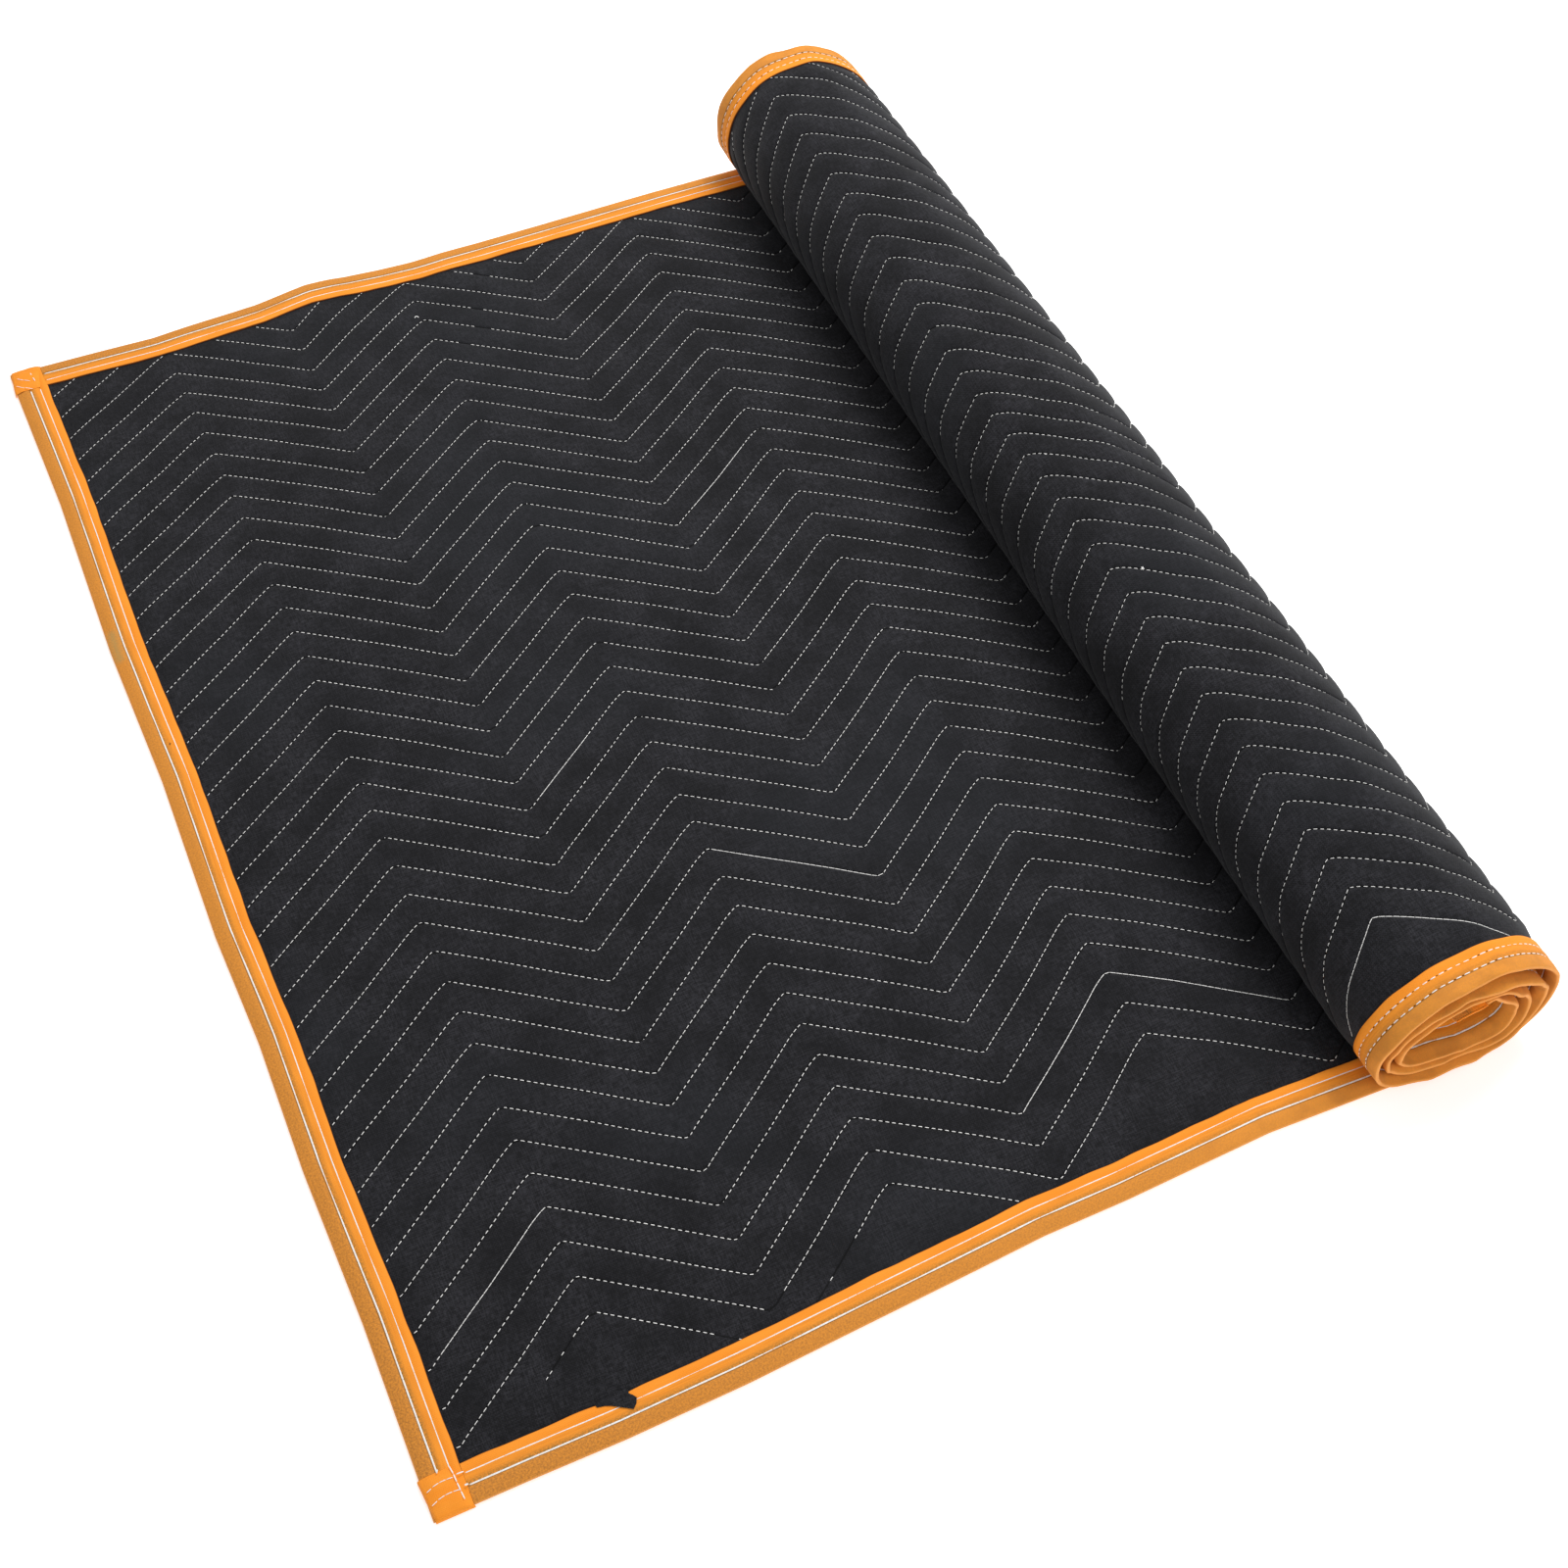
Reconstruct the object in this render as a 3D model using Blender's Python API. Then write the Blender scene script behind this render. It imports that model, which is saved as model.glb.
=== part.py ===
"""Quilted moving pad with a bound edge, lying half flat and half rolled up.

Units are metres and +Z is up. Every piece is laid out on the pad as if it were unrolled, in pad
coordinates: s along its length from the flat end, v across its width from the near edge, and h up
from its underside. Then place() carries each point onto the flat stretch or the turns of the roll.
"""
import math
from collections import namedtuple

import bpy
import numpy as np

INCH = 0.0254
MM = 0.001

# Driving sizes of the pad
LENGTH = 75.5 * INCH
WIDTH = 40 * INCH
FLAT_LENGTH = 0.7195
BINDING_WIDTH = 25.5 * MM
TAB_SIZE = 23.0 * MM

# Heights above the underside, through the thickness of the pad and its binding
CLOTH_GAP = 0.3 * MM
BINDING_CLOTH = 0.9 * MM
BORDER_LOW = BINDING_CLOTH + CLOTH_GAP
BORDER_HIGH = 3.4 * MM
BINDING_LEG = BORDER_HIGH + CLOTH_GAP
BINDING_TOP = BINDING_LEG + BINDING_CLOTH
BINDING_ROUND = 0.8 * MM
FOLD_CLOTH = 1.2 * MM
RIDGE_HIGH = 4.8 * MM
STITCH_HIGH = 3.3 * MM
QUILT_RIM_HIGH = 3.9 * MM
STITCH_LOW = 0.9 * MM
QUILT_RIM_LOW = 0.4 * MM

# Where the layers of the border end, measured in from the edge
PANEL_EDGE = FOLD_CLOTH + CLOTH_GAP
BORDER_END = BINDING_WIDTH + 1.0 * MM
QUILT_START = BINDING_WIDTH + 7.0 * MM

# Quilting: zigzag lines along the pad, one inch apart
LINE_PITCH = 1.0 * INCH
LEG_LENGTH = 103.3 * MM
ZIGZAG_RISE = 70.2 * MM
FIRST_VALLEY_S = 24.4 * MM
FIRST_LINE_V = 10.3 * MM
LINE_DRIFT = -0.013
LAST_LINE = 39
MERGE_REACH = 3.0 * MM

# Steps between the mesh's columns, as parts of one zigzag leg
FLAT_STEPS_PER_LEG = 2
ROLL_STEPS_PER_LEG = 5
LAST_FLAT_LEG = 6.5
FIRST_ROLL_LEG = 7.0

# Legs between which each face shows its quilting
TOP_QUILT_LEGS = (0.0, 6.6)
UNDER_QUILT_LEGS = (7.3, 10.9)
PLAIN_ROLL_ROWS = (0.14, 0.50)

# Section of the roll, about a centre above the floor: radius of the first turn's outer face at
# each angle, if it did not wind in, and how far it winds in on each full turn
ROLL_CENTRE_HIGH = 53.0 * MM
SectionRow = namedtuple("SectionRow", "angle radius wind_in")
SECTION = (
    SectionRow(-90, 53.0, 6.7),
    SectionRow(-53, 67.6, 8.5),
    SectionRow(-42, 72.3, 9.0),
    SectionRow(-25, 76.3, 10.2),
    SectionRow(-5, 74.6, 11.2),
    SectionRow(10, 72.0, 12.0),
    SectionRow(22, 68.0, 12.0),
    SectionRow(46, 62.0, 10.5),
    SectionRow(63, 60.2, 9.5),
    SectionRow(80, 61.4, 9.2),
    SectionRow(100, 61.6, 9.2),
    SectionRow(122, 66.8, 9.4),
    SectionRow(140, 71.2, 9.7),
    SectionRow(159, 76.1, 9.8),
    SectionRow(180, 79.8, 9.8),
    SectionRow(195, 81.2, 9.7),
    SectionRow(209, 80.2, 9.3),
    SectionRow(220, 76.5, 8.9),
    SectionRow(240, 60.5, 7.9),
)
MAX_TURNS = 4.0
PATH_STEPS_PER_TURN = 240

# How far the near and far edges stray from straight, in millimetres towards +Y
EdgeRow = namedtuple("EdgeRow", "s near far")
FLAT_EDGES = (
    EdgeRow(0.00, 1.5, 4.5),
    EdgeRow(0.06, 0.0, 2.0),
    EdgeRow(0.12, -2.2, -1.5),
    EdgeRow(0.20, -2.8, 2.8),
    EdgeRow(0.28, -0.8, 4.0),
    EdgeRow(0.36, 1.1, -1.0),
    EdgeRow(0.41, 2.6, -3.0),
    EdgeRow(0.47, 1.1, -3.9),
    EdgeRow(0.58, 1.6, -4.8),
    EdgeRow(0.67, -4.6, -7.5),
)

# How far each part of the roll slipped along it, in millimetres towards +Y
SlipRow = namedtuple("SlipRow", "turns slip")
ROLL_SLIPS = (
    SlipRow(0.00, -7.0),
    SlipRow(0.12, -9.0),
    SlipRow(0.25, -3.5),
    SlipRow(0.40, -0.5),
    SlipRow(0.60, 0.0),
    SlipRow(0.75, -3.0),
    SlipRow(0.85, -6.0),
    SlipRow(0.92, -13.5),
    SlipRow(1.04, -15.0),
    SlipRow(1.13, -11.0),
    SlipRow(1.25, -5.5),
    SlipRow(1.40, -7.0),
    SlipRow(1.55, -4.5),
    SlipRow(1.75, -1.5),
    SlipRow(1.85, -3.5),
    SlipRow(1.95, -10.0),
    SlipRow(2.12, -11.0),
    SlipRow(2.25, -5.0),
    SlipRow(2.40, -7.0),
    SlipRow(2.75, -2.0),
    SlipRow(2.85, -3.0),
    SlipRow(3.00, -9.0),
    SlipRow(3.15, -8.0),
    SlipRow(3.30, -4.0),
    SlipRow(3.60, -5.0),
)
FAR_EDGE_SLIP = 2.5

# How far the flat end strays from straight, in millimetres towards +X
EndRow = namedtuple("EndRow", "v stray")
FLAT_END = (
    EndRow(0.00, 0.0),
    EndRow(0.13, 1.2),
    EndRow(0.24, -0.8),
    EndRow(0.34, 1.0),
    EndRow(0.43, -1.6),
    EndRow(0.57, 1.0),
    EndRow(0.70, -1.8),
    EndRow(0.86, 1.4),
    EndRow(1.00, -0.8),
)
FLAT_END_REACH = 0.30

# The roll is turned a little: its near end lies further from the flat end than its far one
ROLL_SKEW = 0.008

BLACK_CLOTH = (0.022, 0.022, 0.026)
ORANGE_CLOTH = (0.86, 0.30, 0.035)
BRIGHT_ORANGE_CLOTH = (0.95, 0.33, 0.025)
CLOTH_ROUGHNESS = 0.9
SMOOTH_ANGLE = math.radians(50)


def round_value(angles, values, angle):
    """Smooth value at an angle, from values given at angles all the way round a circle."""
    count = len(angles)
    angle = (angle - angles[0]) % 360 + angles[0]
    first = max(i for i in range(count) if angles[i] <= angle)

    def at(i):
        return angles[i % count] + 360 * (i // count), values[i % count]

    (a0, v0), (a1, v1), (a2, v2), (a3, v3) = (at(first + i) for i in (-1, 0, 1, 2))
    slope1 = (v2 - v0) / (a2 - a0) * (a2 - a1)
    slope2 = (v3 - v1) / (a3 - a1) * (a2 - a1)
    u = (angle - a1) / (a2 - a1)
    return (v1 * (2 * u**3 - 3 * u**2 + 1) + v2 * (3 * u**2 - 2 * u**3)
            + slope1 * (u**3 - 2 * u**2 + u) + slope2 * (u**3 - u**2))


def roll_path():
    """Turns, x and z of the roll's underside, every few millimetres along it, with its length."""
    angles = [row.angle for row in SECTION]
    radii = [row.radius * MM for row in SECTION]
    wind_ins = [row.wind_in * MM for row in SECTION]
    turns = np.linspace(0, MAX_TURNS, int(MAX_TURNS * PATH_STEPS_PER_TURN) + 1)
    points = []
    for turn in turns:
        angle = -90 + 360 * turn
        radius = round_value(angles, radii, angle) - turn * round_value(angles, wind_ins, angle)
        x = FLAT_LENGTH + radius * math.cos(math.radians(angle))
        z = ROLL_CENTRE_HIGH + radius * math.sin(math.radians(angle))
        points.append((x, max(z, 0.0)))
    points = np.array(points)
    steps = np.hypot(*np.diff(points, axis=0).T)
    return turns, points, np.concatenate([[0], np.cumsum(steps)])


PATH_TURNS, PATH_POINTS, PATH_LENGTHS = roll_path()
PATH_TANGENTS = np.gradient(PATH_POINTS, PATH_LENGTHS, axis=0)


def stray_of_edges(s):
    """How far the near and the far edge stray towards +Y at a point along the pad."""
    if s > FLAT_LENGTH:
        turn = np.interp(s - FLAT_LENGTH, PATH_LENGTHS, PATH_TURNS)
        slip = np.interp(turn, [row.turns for row in ROLL_SLIPS], [row.slip for row in ROLL_SLIPS])
        return slip * MM, (slip + FAR_EDGE_SLIP) * MM
    marks = [row.s for row in FLAT_EDGES] + [FLAT_LENGTH]
    first_slip = ROLL_SLIPS[0].slip
    near = np.interp(s, marks, [row.near for row in FLAT_EDGES] + [first_slip])
    far = np.interp(s, marks, [row.far for row in FLAT_EDGES] + [first_slip + FAR_EDGE_SLIP])
    return near * MM, far * MM


def place(s, v, h):
    """World point of a pad coordinate, before the part is centred."""
    if s <= FLAT_LENGTH:
        x, z = s, h
    else:
        along = s - FLAT_LENGTH
        x = np.interp(along, PATH_LENGTHS, PATH_POINTS[:, 0])
        z = np.interp(along, PATH_LENGTHS, PATH_POINTS[:, 1])
        tangent_x = np.interp(along, PATH_LENGTHS, PATH_TANGENTS[:, 0])
        tangent_z = np.interp(along, PATH_LENGTHS, PATH_TANGENTS[:, 1])
        size = math.hypot(tangent_x, tangent_z)
        x -= h * tangent_z / size
        z += h * tangent_x / size
    near, far = stray_of_edges(s)
    share = v / WIDTH
    x += ROLL_SKEW * (0.5 - share) * min(s / FLAT_LENGTH, 1)
    end_stray = np.interp(v, [row.v for row in FLAT_END], [row.stray for row in FLAT_END]) * MM
    x += end_stray * max(1 - s / FLAT_END_REACH, 0)
    y = v + near * (1 - share) + far * share
    return x, y, z


def line_v(line, s):
    """Where a stitched line crosses a point along the pad, counted in lines from the near edge."""
    leg = (s - FIRST_VALLEY_S) / LEG_LENGTH
    rise = ZIGZAG_RISE * (1 - abs(1 - leg % 2))
    return FIRST_LINE_V + line * LINE_PITCH + rise + LINE_DRIFT * (s - FIRST_VALLEY_S)


def leg_s(leg):
    return FIRST_VALLEY_S + leg * LEG_LENGTH


def make_columns():
    """Places along the pad where its cross rows of points lie."""
    flat = [leg_s(i / FLAT_STEPS_PER_LEG) for i in range(1, int(LAST_FLAT_LEG * FLAT_STEPS_PER_LEG) + 1)]
    columns = [PANEL_EDGE, BORDER_END, QUILT_START] + flat
    s = leg_s(FIRST_ROLL_LEG)
    step = LEG_LENGTH / ROLL_STEPS_PER_LEG
    last = LENGTH - QUILT_START
    while s < last - step / 2:
        columns.append(s)
        s += step
    return columns + [last] + [LENGTH - inset for inset in (BORDER_END, TAB_SIZE, TAB_SIZE / 2, PANEL_EDGE)]


COLUMNS = make_columns()


class MeshBuilder:
    """Collects points in pad coordinates and faces, and makes an object of them."""

    def __init__(self):
        self.points = []
        self.faces = []

    def point(self, s, v, h):
        self.points.append((s, v, h))
        return len(self.points) - 1

    def face(self, indices, flipped=False):
        kept = [index for i, index in enumerate(indices) if index != indices[i - 1]]
        if len(kept) >= 3:
            self.faces.append(kept[::-1] if flipped else kept)

    def make(self, name, material):
        mesh = bpy.data.meshes.new(name)
        mesh.from_pydata([place(*point) for point in self.points], [], self.faces)
        mesh.validate()
        mesh.shade_smooth()
        mesh.set_sharp_from_angle(angle=SMOOTH_ANGLE)
        mesh.materials.append(material)
        thing = bpy.data.objects.new(name, mesh)
        bpy.context.scene.collection.objects.link(thing)
        return thing


def is_quilted(s, legs):
    return leg_s(legs[0]) + QUILT_START - FIRST_VALLEY_S <= s <= leg_s(legs[1])


def plain_rows(s):
    """Where the rows of points lie across a face that shows no quilting, between its rims."""
    if s < FLAT_LENGTH:
        return [row.v for row in FLAT_END[1:-1]]
    return PLAIN_ROLL_ROWS


def column_points(builder, s, quilted, heights):
    """Points of one face at one column: {row name: index}, in order from the near edge.

    A row name is a number that grows with v. Stitched lines have even numbers from 0, the ridges
    beside them odd ones, and rows past the quilting's rim share the rim's point.
    """
    inset = [PANEL_EDGE, BORDER_END, QUILT_START]
    at_end = s < QUILT_START or s > LENGTH - QUILT_START
    low_row, high_row = -1, 2 * LAST_LINE + 1
    rim = heights["border"] if at_end else heights["rim"] if quilted else heights["plain"]
    border = [heights["border"], heights["border"], rim]
    found = {}
    for i, (v, h) in enumerate(zip(inset, border)):
        found[low_row - len(inset) + i] = builder.point(s, v, h)
    near_rim = found[low_row - 1]
    middle = {}
    if quilted:
        for row in range(low_row, high_row + 1):
            v = line_v(row / 2, s)
            if MERGE_REACH < v - QUILT_START and MERGE_REACH < WIDTH - QUILT_START - v:
                middle[row] = builder.point(s, v, heights["stitch"] if row % 2 == 0 else heights["ridge"])
    else:
        for i, v in enumerate(plain_rows(s)):
            middle[low_row + i] = builder.point(s, v, rim)
    far_rim = builder.point(s, WIDTH - QUILT_START, rim)
    if quilted:
        for row in range(low_row, high_row + 1):
            if row not in middle:
                middle[row] = near_rim if line_v(row / 2, s) < WIDTH / 2 else far_rim
    found.update(sorted(middle.items()))
    found[high_row + 1] = far_rim
    for i, (v, h) in enumerate(zip(inset[1::-1], border[1::-1])):
        found[high_row + 2 + i] = builder.point(s, WIDTH - v, h)
    return found


def join_columns(builder, left, right, flipped):
    """Faces between two columns of one face of the pad."""
    if list(left) == list(right):
        rows = list(left)
        for low, high in zip(rows, rows[1:]):
            builder.face([left[low], right[low], right[high], left[high]], flipped)
        return
    left, right = list(dict.fromkeys(left.values())), list(dict.fromkeys(right.values()))
    i = j = 0
    while i < len(left) - 1 or j < len(right) - 1:
        left_next = builder.points[left[i + 1]][1] if i < len(left) - 1 else math.inf
        right_next = builder.points[right[j + 1]][1] if j < len(right) - 1 else math.inf
        if left_next <= right_next:
            builder.face([left[i], right[j], left[i + 1]], flipped)
            i += 1
        else:
            builder.face([left[i], right[j], right[j + 1]], flipped)
            j += 1


def make_pad(material):
    """The quilted panel: a top face, an underside, and the four thin sides that join them."""
    builder = MeshBuilder()
    top_heights = {"border": BORDER_HIGH, "rim": QUILT_RIM_HIGH, "plain": QUILT_RIM_HIGH,
                   "stitch": STITCH_HIGH, "ridge": RIDGE_HIGH}
    under_heights = {"border": BORDER_LOW, "rim": QUILT_RIM_LOW, "plain": 0.0,
                     "stitch": STITCH_LOW, "ridge": 0.0}
    tops = [column_points(builder, s, is_quilted(s, TOP_QUILT_LEGS), top_heights) for s in COLUMNS]
    unders = [column_points(builder, s, is_quilted(s, UNDER_QUILT_LEGS), under_heights) for s in COLUMNS]
    for i in range(len(COLUMNS) - 1):
        join_columns(builder, tops[i], tops[i + 1], flipped=False)
        join_columns(builder, unders[i], unders[i + 1], flipped=True)
        for edge, flipped in ((min, False), (max, True)):
            corners = [unders[i], unders[i + 1], tops[i + 1], tops[i]]
            builder.face([column[edge(column)] for column in corners], flipped)
    for top, under, flipped in ((tops[0], unders[0], True), (tops[-1], unders[-1], False)):
        rows = list(top)
        for low, high in zip(rows, rows[1:]):
            builder.face([under[low], under[high], top[high], top[low]], flipped)
    return builder.make("pad", material)


def binding_profile():
    """Section of a folded strip: distance in from the edge and height, round the outside and back."""
    steps = [TAB_SIZE / 2, TAB_SIZE, BINDING_WIDTH]
    outside_low = [(inset, 0.0) for inset in steps[::-1] + [BINDING_ROUND]]
    side = [(0.0, BINDING_ROUND), (0.0, BINDING_TOP - BINDING_ROUND)]
    outside_high = [(inset, BINDING_TOP) for inset in [BINDING_ROUND] + steps]
    inside_high = [(inset, BINDING_LEG) for inset in steps[::-1] + [FOLD_CLOTH]]
    inside_low = [(inset, BINDING_CLOTH) for inset in [FOLD_CLOTH] + steps]
    return outside_low + side + outside_high + inside_high + inside_low


def sweep(name, material, profile, stations, to_pad, flipped):
    """A profile carried along stations; to_pad turns (station, inset, height) into (s, v, h)."""
    builder = MeshBuilder()
    rings = [[builder.point(*to_pad(station, inset, h)) for inset, h in profile] for station in stations]
    count = len(profile)
    for ring, following in zip(rings, rings[1:]):
        for i in range(count):
            j = (i + 1) % count
            builder.face([ring[i], ring[j], following[j], following[i]], flipped)
    builder.face(rings[0][::-1], flipped)
    builder.face(rings[-1], flipped)
    return builder.make(name, material)


def make_long_bindings(material):
    """The strips over the near and far edges, between the strips over the two ends."""
    profile = [(inset, h) for inset, h in binding_profile() if inset not in (TAB_SIZE / 2, TAB_SIZE)]
    low, high = BINDING_WIDTH + CLOTH_GAP, LENGTH - BINDING_WIDTH - CLOTH_GAP
    stations = [low] + [s for s in COLUMNS if BORDER_END < s < LENGTH - BORDER_END] + [high]
    sweep("binding_near", material, profile, stations, lambda s, inset, h: (s, inset, h), True)
    sweep("binding_far", material, profile, stations, lambda s, inset, h: (s, WIDTH - inset, h), False)


def make_end_bindings(material):
    """The strips over the flat end and the end inside the roll, over the pad's full width."""
    profile = binding_profile()
    flat_stations = [row.v for row in FLAT_END if row.v < FLAT_END[-1].v] + [WIDTH]
    roll_stations = [0.0, QUILT_START, *plain_rows(LENGTH), WIDTH - QUILT_START, WIDTH]
    sweep("binding_left", material, profile, flat_stations, lambda v, inset, h: (inset, v, h), False)
    sweep("binding_inner", material, profile, roll_stations, lambda v, inset, h: (LENGTH - inset, v, h), True)


def make_tab(name, material, s_edge, s_inward, v_edge, v_inward):
    """The square of binding folded over a corner: a top and two thin sides, made of grid cells."""
    outer, inner = -(BINDING_CLOTH + CLOTH_GAP), -CLOTH_GAP
    alongs = [outer, inner, TAB_SIZE / 2, TAB_SIZE]
    acrosses = [outer, inner, TAB_SIZE]
    highs = [CLOTH_GAP, BINDING_TOP + CLOTH_GAP, BINDING_TOP + CLOTH_GAP + BINDING_CLOTH]

    def filled(i, j, k):
        inside = 0 <= i < len(alongs) - 1 and 0 <= j < len(acrosses) - 1 and 0 <= k < len(highs) - 1
        return inside and (k == 1 or i == 0 or j == 0)

    builder = MeshBuilder()
    found = {}

    def corner(i, j, k):
        if (i, j, k) not in found:
            s = s_edge + s_inward * alongs[i]
            v = v_edge + v_inward * acrosses[j]
            found[(i, j, k)] = builder.point(s, v, highs[k])
        return found[(i, j, k)]

    mirrored = s_inward * v_inward < 0
    for i in range(len(alongs) - 1):
        for j in range(len(acrosses) - 1):
            for k in range(len(highs) - 1):
                if not filled(i, j, k):
                    continue
                sides = {
                    (-1, 0, 0): [(i, j, k), (i, j, k + 1), (i, j + 1, k + 1), (i, j + 1, k)],
                    (1, 0, 0): [(i + 1, j, k), (i + 1, j + 1, k), (i + 1, j + 1, k + 1), (i + 1, j, k + 1)],
                    (0, -1, 0): [(i, j, k), (i + 1, j, k), (i + 1, j, k + 1), (i, j, k + 1)],
                    (0, 1, 0): [(i, j + 1, k), (i, j + 1, k + 1), (i + 1, j + 1, k + 1), (i + 1, j + 1, k)],
                    (0, 0, -1): [(i, j, k), (i, j + 1, k), (i + 1, j + 1, k), (i + 1, j, k)],
                    (0, 0, 1): [(i, j, k + 1), (i + 1, j, k + 1), (i + 1, j + 1, k + 1), (i, j + 1, k + 1)],
                }
                for (di, dj, dk), cells in sides.items():
                    if not filled(i + di, j + dj, k + dk):
                        builder.face([corner(*cell) for cell in cells], mirrored)
    builder.make(name, material)


def cloth_material(name, colour):
    material = bpy.data.materials.new(name)
    material.use_nodes = True
    shader = material.node_tree.nodes["Principled BSDF"]
    shader.inputs["Base Color"].default_value = (*colour, 1)
    shader.inputs["Roughness"].default_value = CLOTH_ROUGHNESS
    shader.inputs["Metallic"].default_value = 0.0
    return material


def centre_on_floor(things):
    """Moves the part so that the middle of its box's lowest face is the origin."""
    corners = np.array([vertex.co for thing in things for vertex in thing.data.vertices])
    low, high = corners.min(axis=0), corners.max(axis=0)
    shift = ((low[0] + high[0]) / 2, (low[1] + high[1]) / 2, low[2])
    for thing in things:
        thing.location = [-value for value in shift]


def main():
    for thing in list(bpy.data.objects):
        bpy.data.objects.remove(thing)
    black = cloth_material("black_cloth", BLACK_CLOTH)
    orange = cloth_material("orange_cloth", ORANGE_CLOTH)
    bright_orange = cloth_material("bright_orange_cloth", BRIGHT_ORANGE_CLOTH)
    make_pad(black)
    make_long_bindings(orange)
    make_end_bindings(orange)
    make_tab("tab_near_left", bright_orange, 0.0, 1, 0.0, 1)
    make_tab("tab_far_left", bright_orange, 0.0, 1, WIDTH, -1)
    make_tab("tab_near_inner", bright_orange, LENGTH, -1, 0.0, 1)
    make_tab("tab_far_inner", bright_orange, LENGTH, -1, WIDTH, -1)
    centre_on_floor(list(bpy.data.objects))


main()
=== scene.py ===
"""Looks of the moving pad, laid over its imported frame: cloth, bindings, thread, floor and light.

Units are metres. As in the part's source, pieces are laid out in pad coordinates: s along the pad
from its flat end, v across it from its near edge, h up from its underside. place() carries them
onto the flat stretch or the turns of the roll. The tables up to FLAT_END repeat the source's.
"""

import math
from collections import namedtuple

import bpy
import numpy as np
from mathutils import Matrix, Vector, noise


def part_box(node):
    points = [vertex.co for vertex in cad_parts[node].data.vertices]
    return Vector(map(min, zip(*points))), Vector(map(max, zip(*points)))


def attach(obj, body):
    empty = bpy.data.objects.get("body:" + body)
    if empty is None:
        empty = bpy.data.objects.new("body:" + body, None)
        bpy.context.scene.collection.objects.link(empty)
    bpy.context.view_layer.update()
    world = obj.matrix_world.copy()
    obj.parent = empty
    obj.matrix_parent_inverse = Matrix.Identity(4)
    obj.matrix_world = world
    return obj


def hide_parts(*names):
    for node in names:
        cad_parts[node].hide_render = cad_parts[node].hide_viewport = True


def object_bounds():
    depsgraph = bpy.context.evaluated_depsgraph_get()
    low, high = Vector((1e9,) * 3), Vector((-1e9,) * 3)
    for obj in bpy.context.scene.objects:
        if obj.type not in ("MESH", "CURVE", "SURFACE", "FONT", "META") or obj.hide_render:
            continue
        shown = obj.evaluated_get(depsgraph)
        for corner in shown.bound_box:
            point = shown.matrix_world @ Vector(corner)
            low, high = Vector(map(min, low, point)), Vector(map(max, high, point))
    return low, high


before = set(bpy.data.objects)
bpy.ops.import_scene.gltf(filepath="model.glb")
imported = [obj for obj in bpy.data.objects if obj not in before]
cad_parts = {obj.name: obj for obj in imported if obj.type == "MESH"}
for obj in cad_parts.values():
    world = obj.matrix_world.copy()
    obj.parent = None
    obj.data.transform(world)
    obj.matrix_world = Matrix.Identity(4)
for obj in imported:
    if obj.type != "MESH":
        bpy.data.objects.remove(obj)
CAD_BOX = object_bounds()

MM = 0.001
INCH = 0.0254
LENGTH = 75.5 * INCH
WIDTH = 40 * INCH
FLAT_LENGTH = 0.7195
BINDING_WIDTH = 25.5 * MM
TAB_SIZE = 23.0 * MM
CLOTH_GAP = 0.3 * MM
BINDING_CLOTH = 0.9 * MM
BORDER_LOW = 1.2 * MM
BORDER_HIGH = 3.4 * MM
BINDING_TOP = 4.6 * MM
FOLD_TOP = 2.7 * MM
FOLD_REACH = 9.0 * MM
RIDGE_HIGH = 4.9 * MM
STITCH_HIGH = 3.3 * MM
STITCH_LOW = 0.9 * MM
RIDGE_LOW = -1.0 * MM
PANEL_EDGE = 1.5 * MM

LINE_PITCH = 1.0 * INCH
LEG_LENGTH = 103.3 * MM
ZIGZAG_RISE = 70.2 * MM
FIRST_VALLEY_S = 24.4 * MM
FIRST_LINE_V = 10.3 * MM
LINE_DRIFT = -0.013
LAST_LINE = 39

ROLL_CENTRE_HIGH = 53.0 * MM
# Angle in degrees, radius and winding in per turn in millimetres
SECTION = (
    (-90, 53.0, 6.7), (-53, 67.6, 8.5), (-42, 72.3, 9.0), (-25, 76.3, 10.2), (-5, 74.6, 11.2),
    (10, 72.0, 12.0), (22, 68.0, 12.0), (46, 62.0, 10.5), (63, 60.2, 9.5), (80, 61.4, 9.2),
    (100, 61.6, 9.2), (122, 66.8, 9.4), (140, 71.2, 9.7), (159, 76.1, 9.8), (180, 79.8, 9.8),
    (195, 81.2, 9.7), (209, 80.2, 9.3), (220, 76.5, 8.9), (240, 60.5, 7.9),
)
MAX_TURNS = 4.0
PATH_STEPS_PER_TURN = 240
# Place along the pad in metres, then how far the near and far edges stray in millimetres
FLAT_EDGES = (
    (0.00, 1.5, 4.5), (0.06, 0.0, 2.0), (0.12, -2.2, -1.5), (0.20, -2.8, 2.8), (0.28, -0.8, 4.0),
    (0.36, 1.1, -1.0), (0.41, 2.6, -3.0), (0.47, 1.1, -3.9), (0.58, 1.6, -4.8), (0.67, -4.6, -7.5),
)
# Turns of the roll, then the slip along it in millimetres
ROLL_SLIPS = (
    (0.00, -7.0), (0.12, -9.0), (0.25, -3.5), (0.40, -0.5), (0.60, 0.0), (0.75, -3.0),
    (0.85, -6.0), (0.92, -13.5), (1.04, -15.0), (1.13, -11.0), (1.25, -5.5), (1.40, -7.0),
    (1.55, -4.5), (1.75, -1.5), (1.85, -3.5), (1.95, -10.0), (2.12, -11.0), (2.25, -5.0),
    (2.40, -7.0), (2.75, -2.0), (2.85, -3.0), (3.00, -9.0), (3.15, -8.0), (3.30, -4.0),
    (3.60, -5.0),
)
FAR_EDGE_SLIP = 2.5
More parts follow.
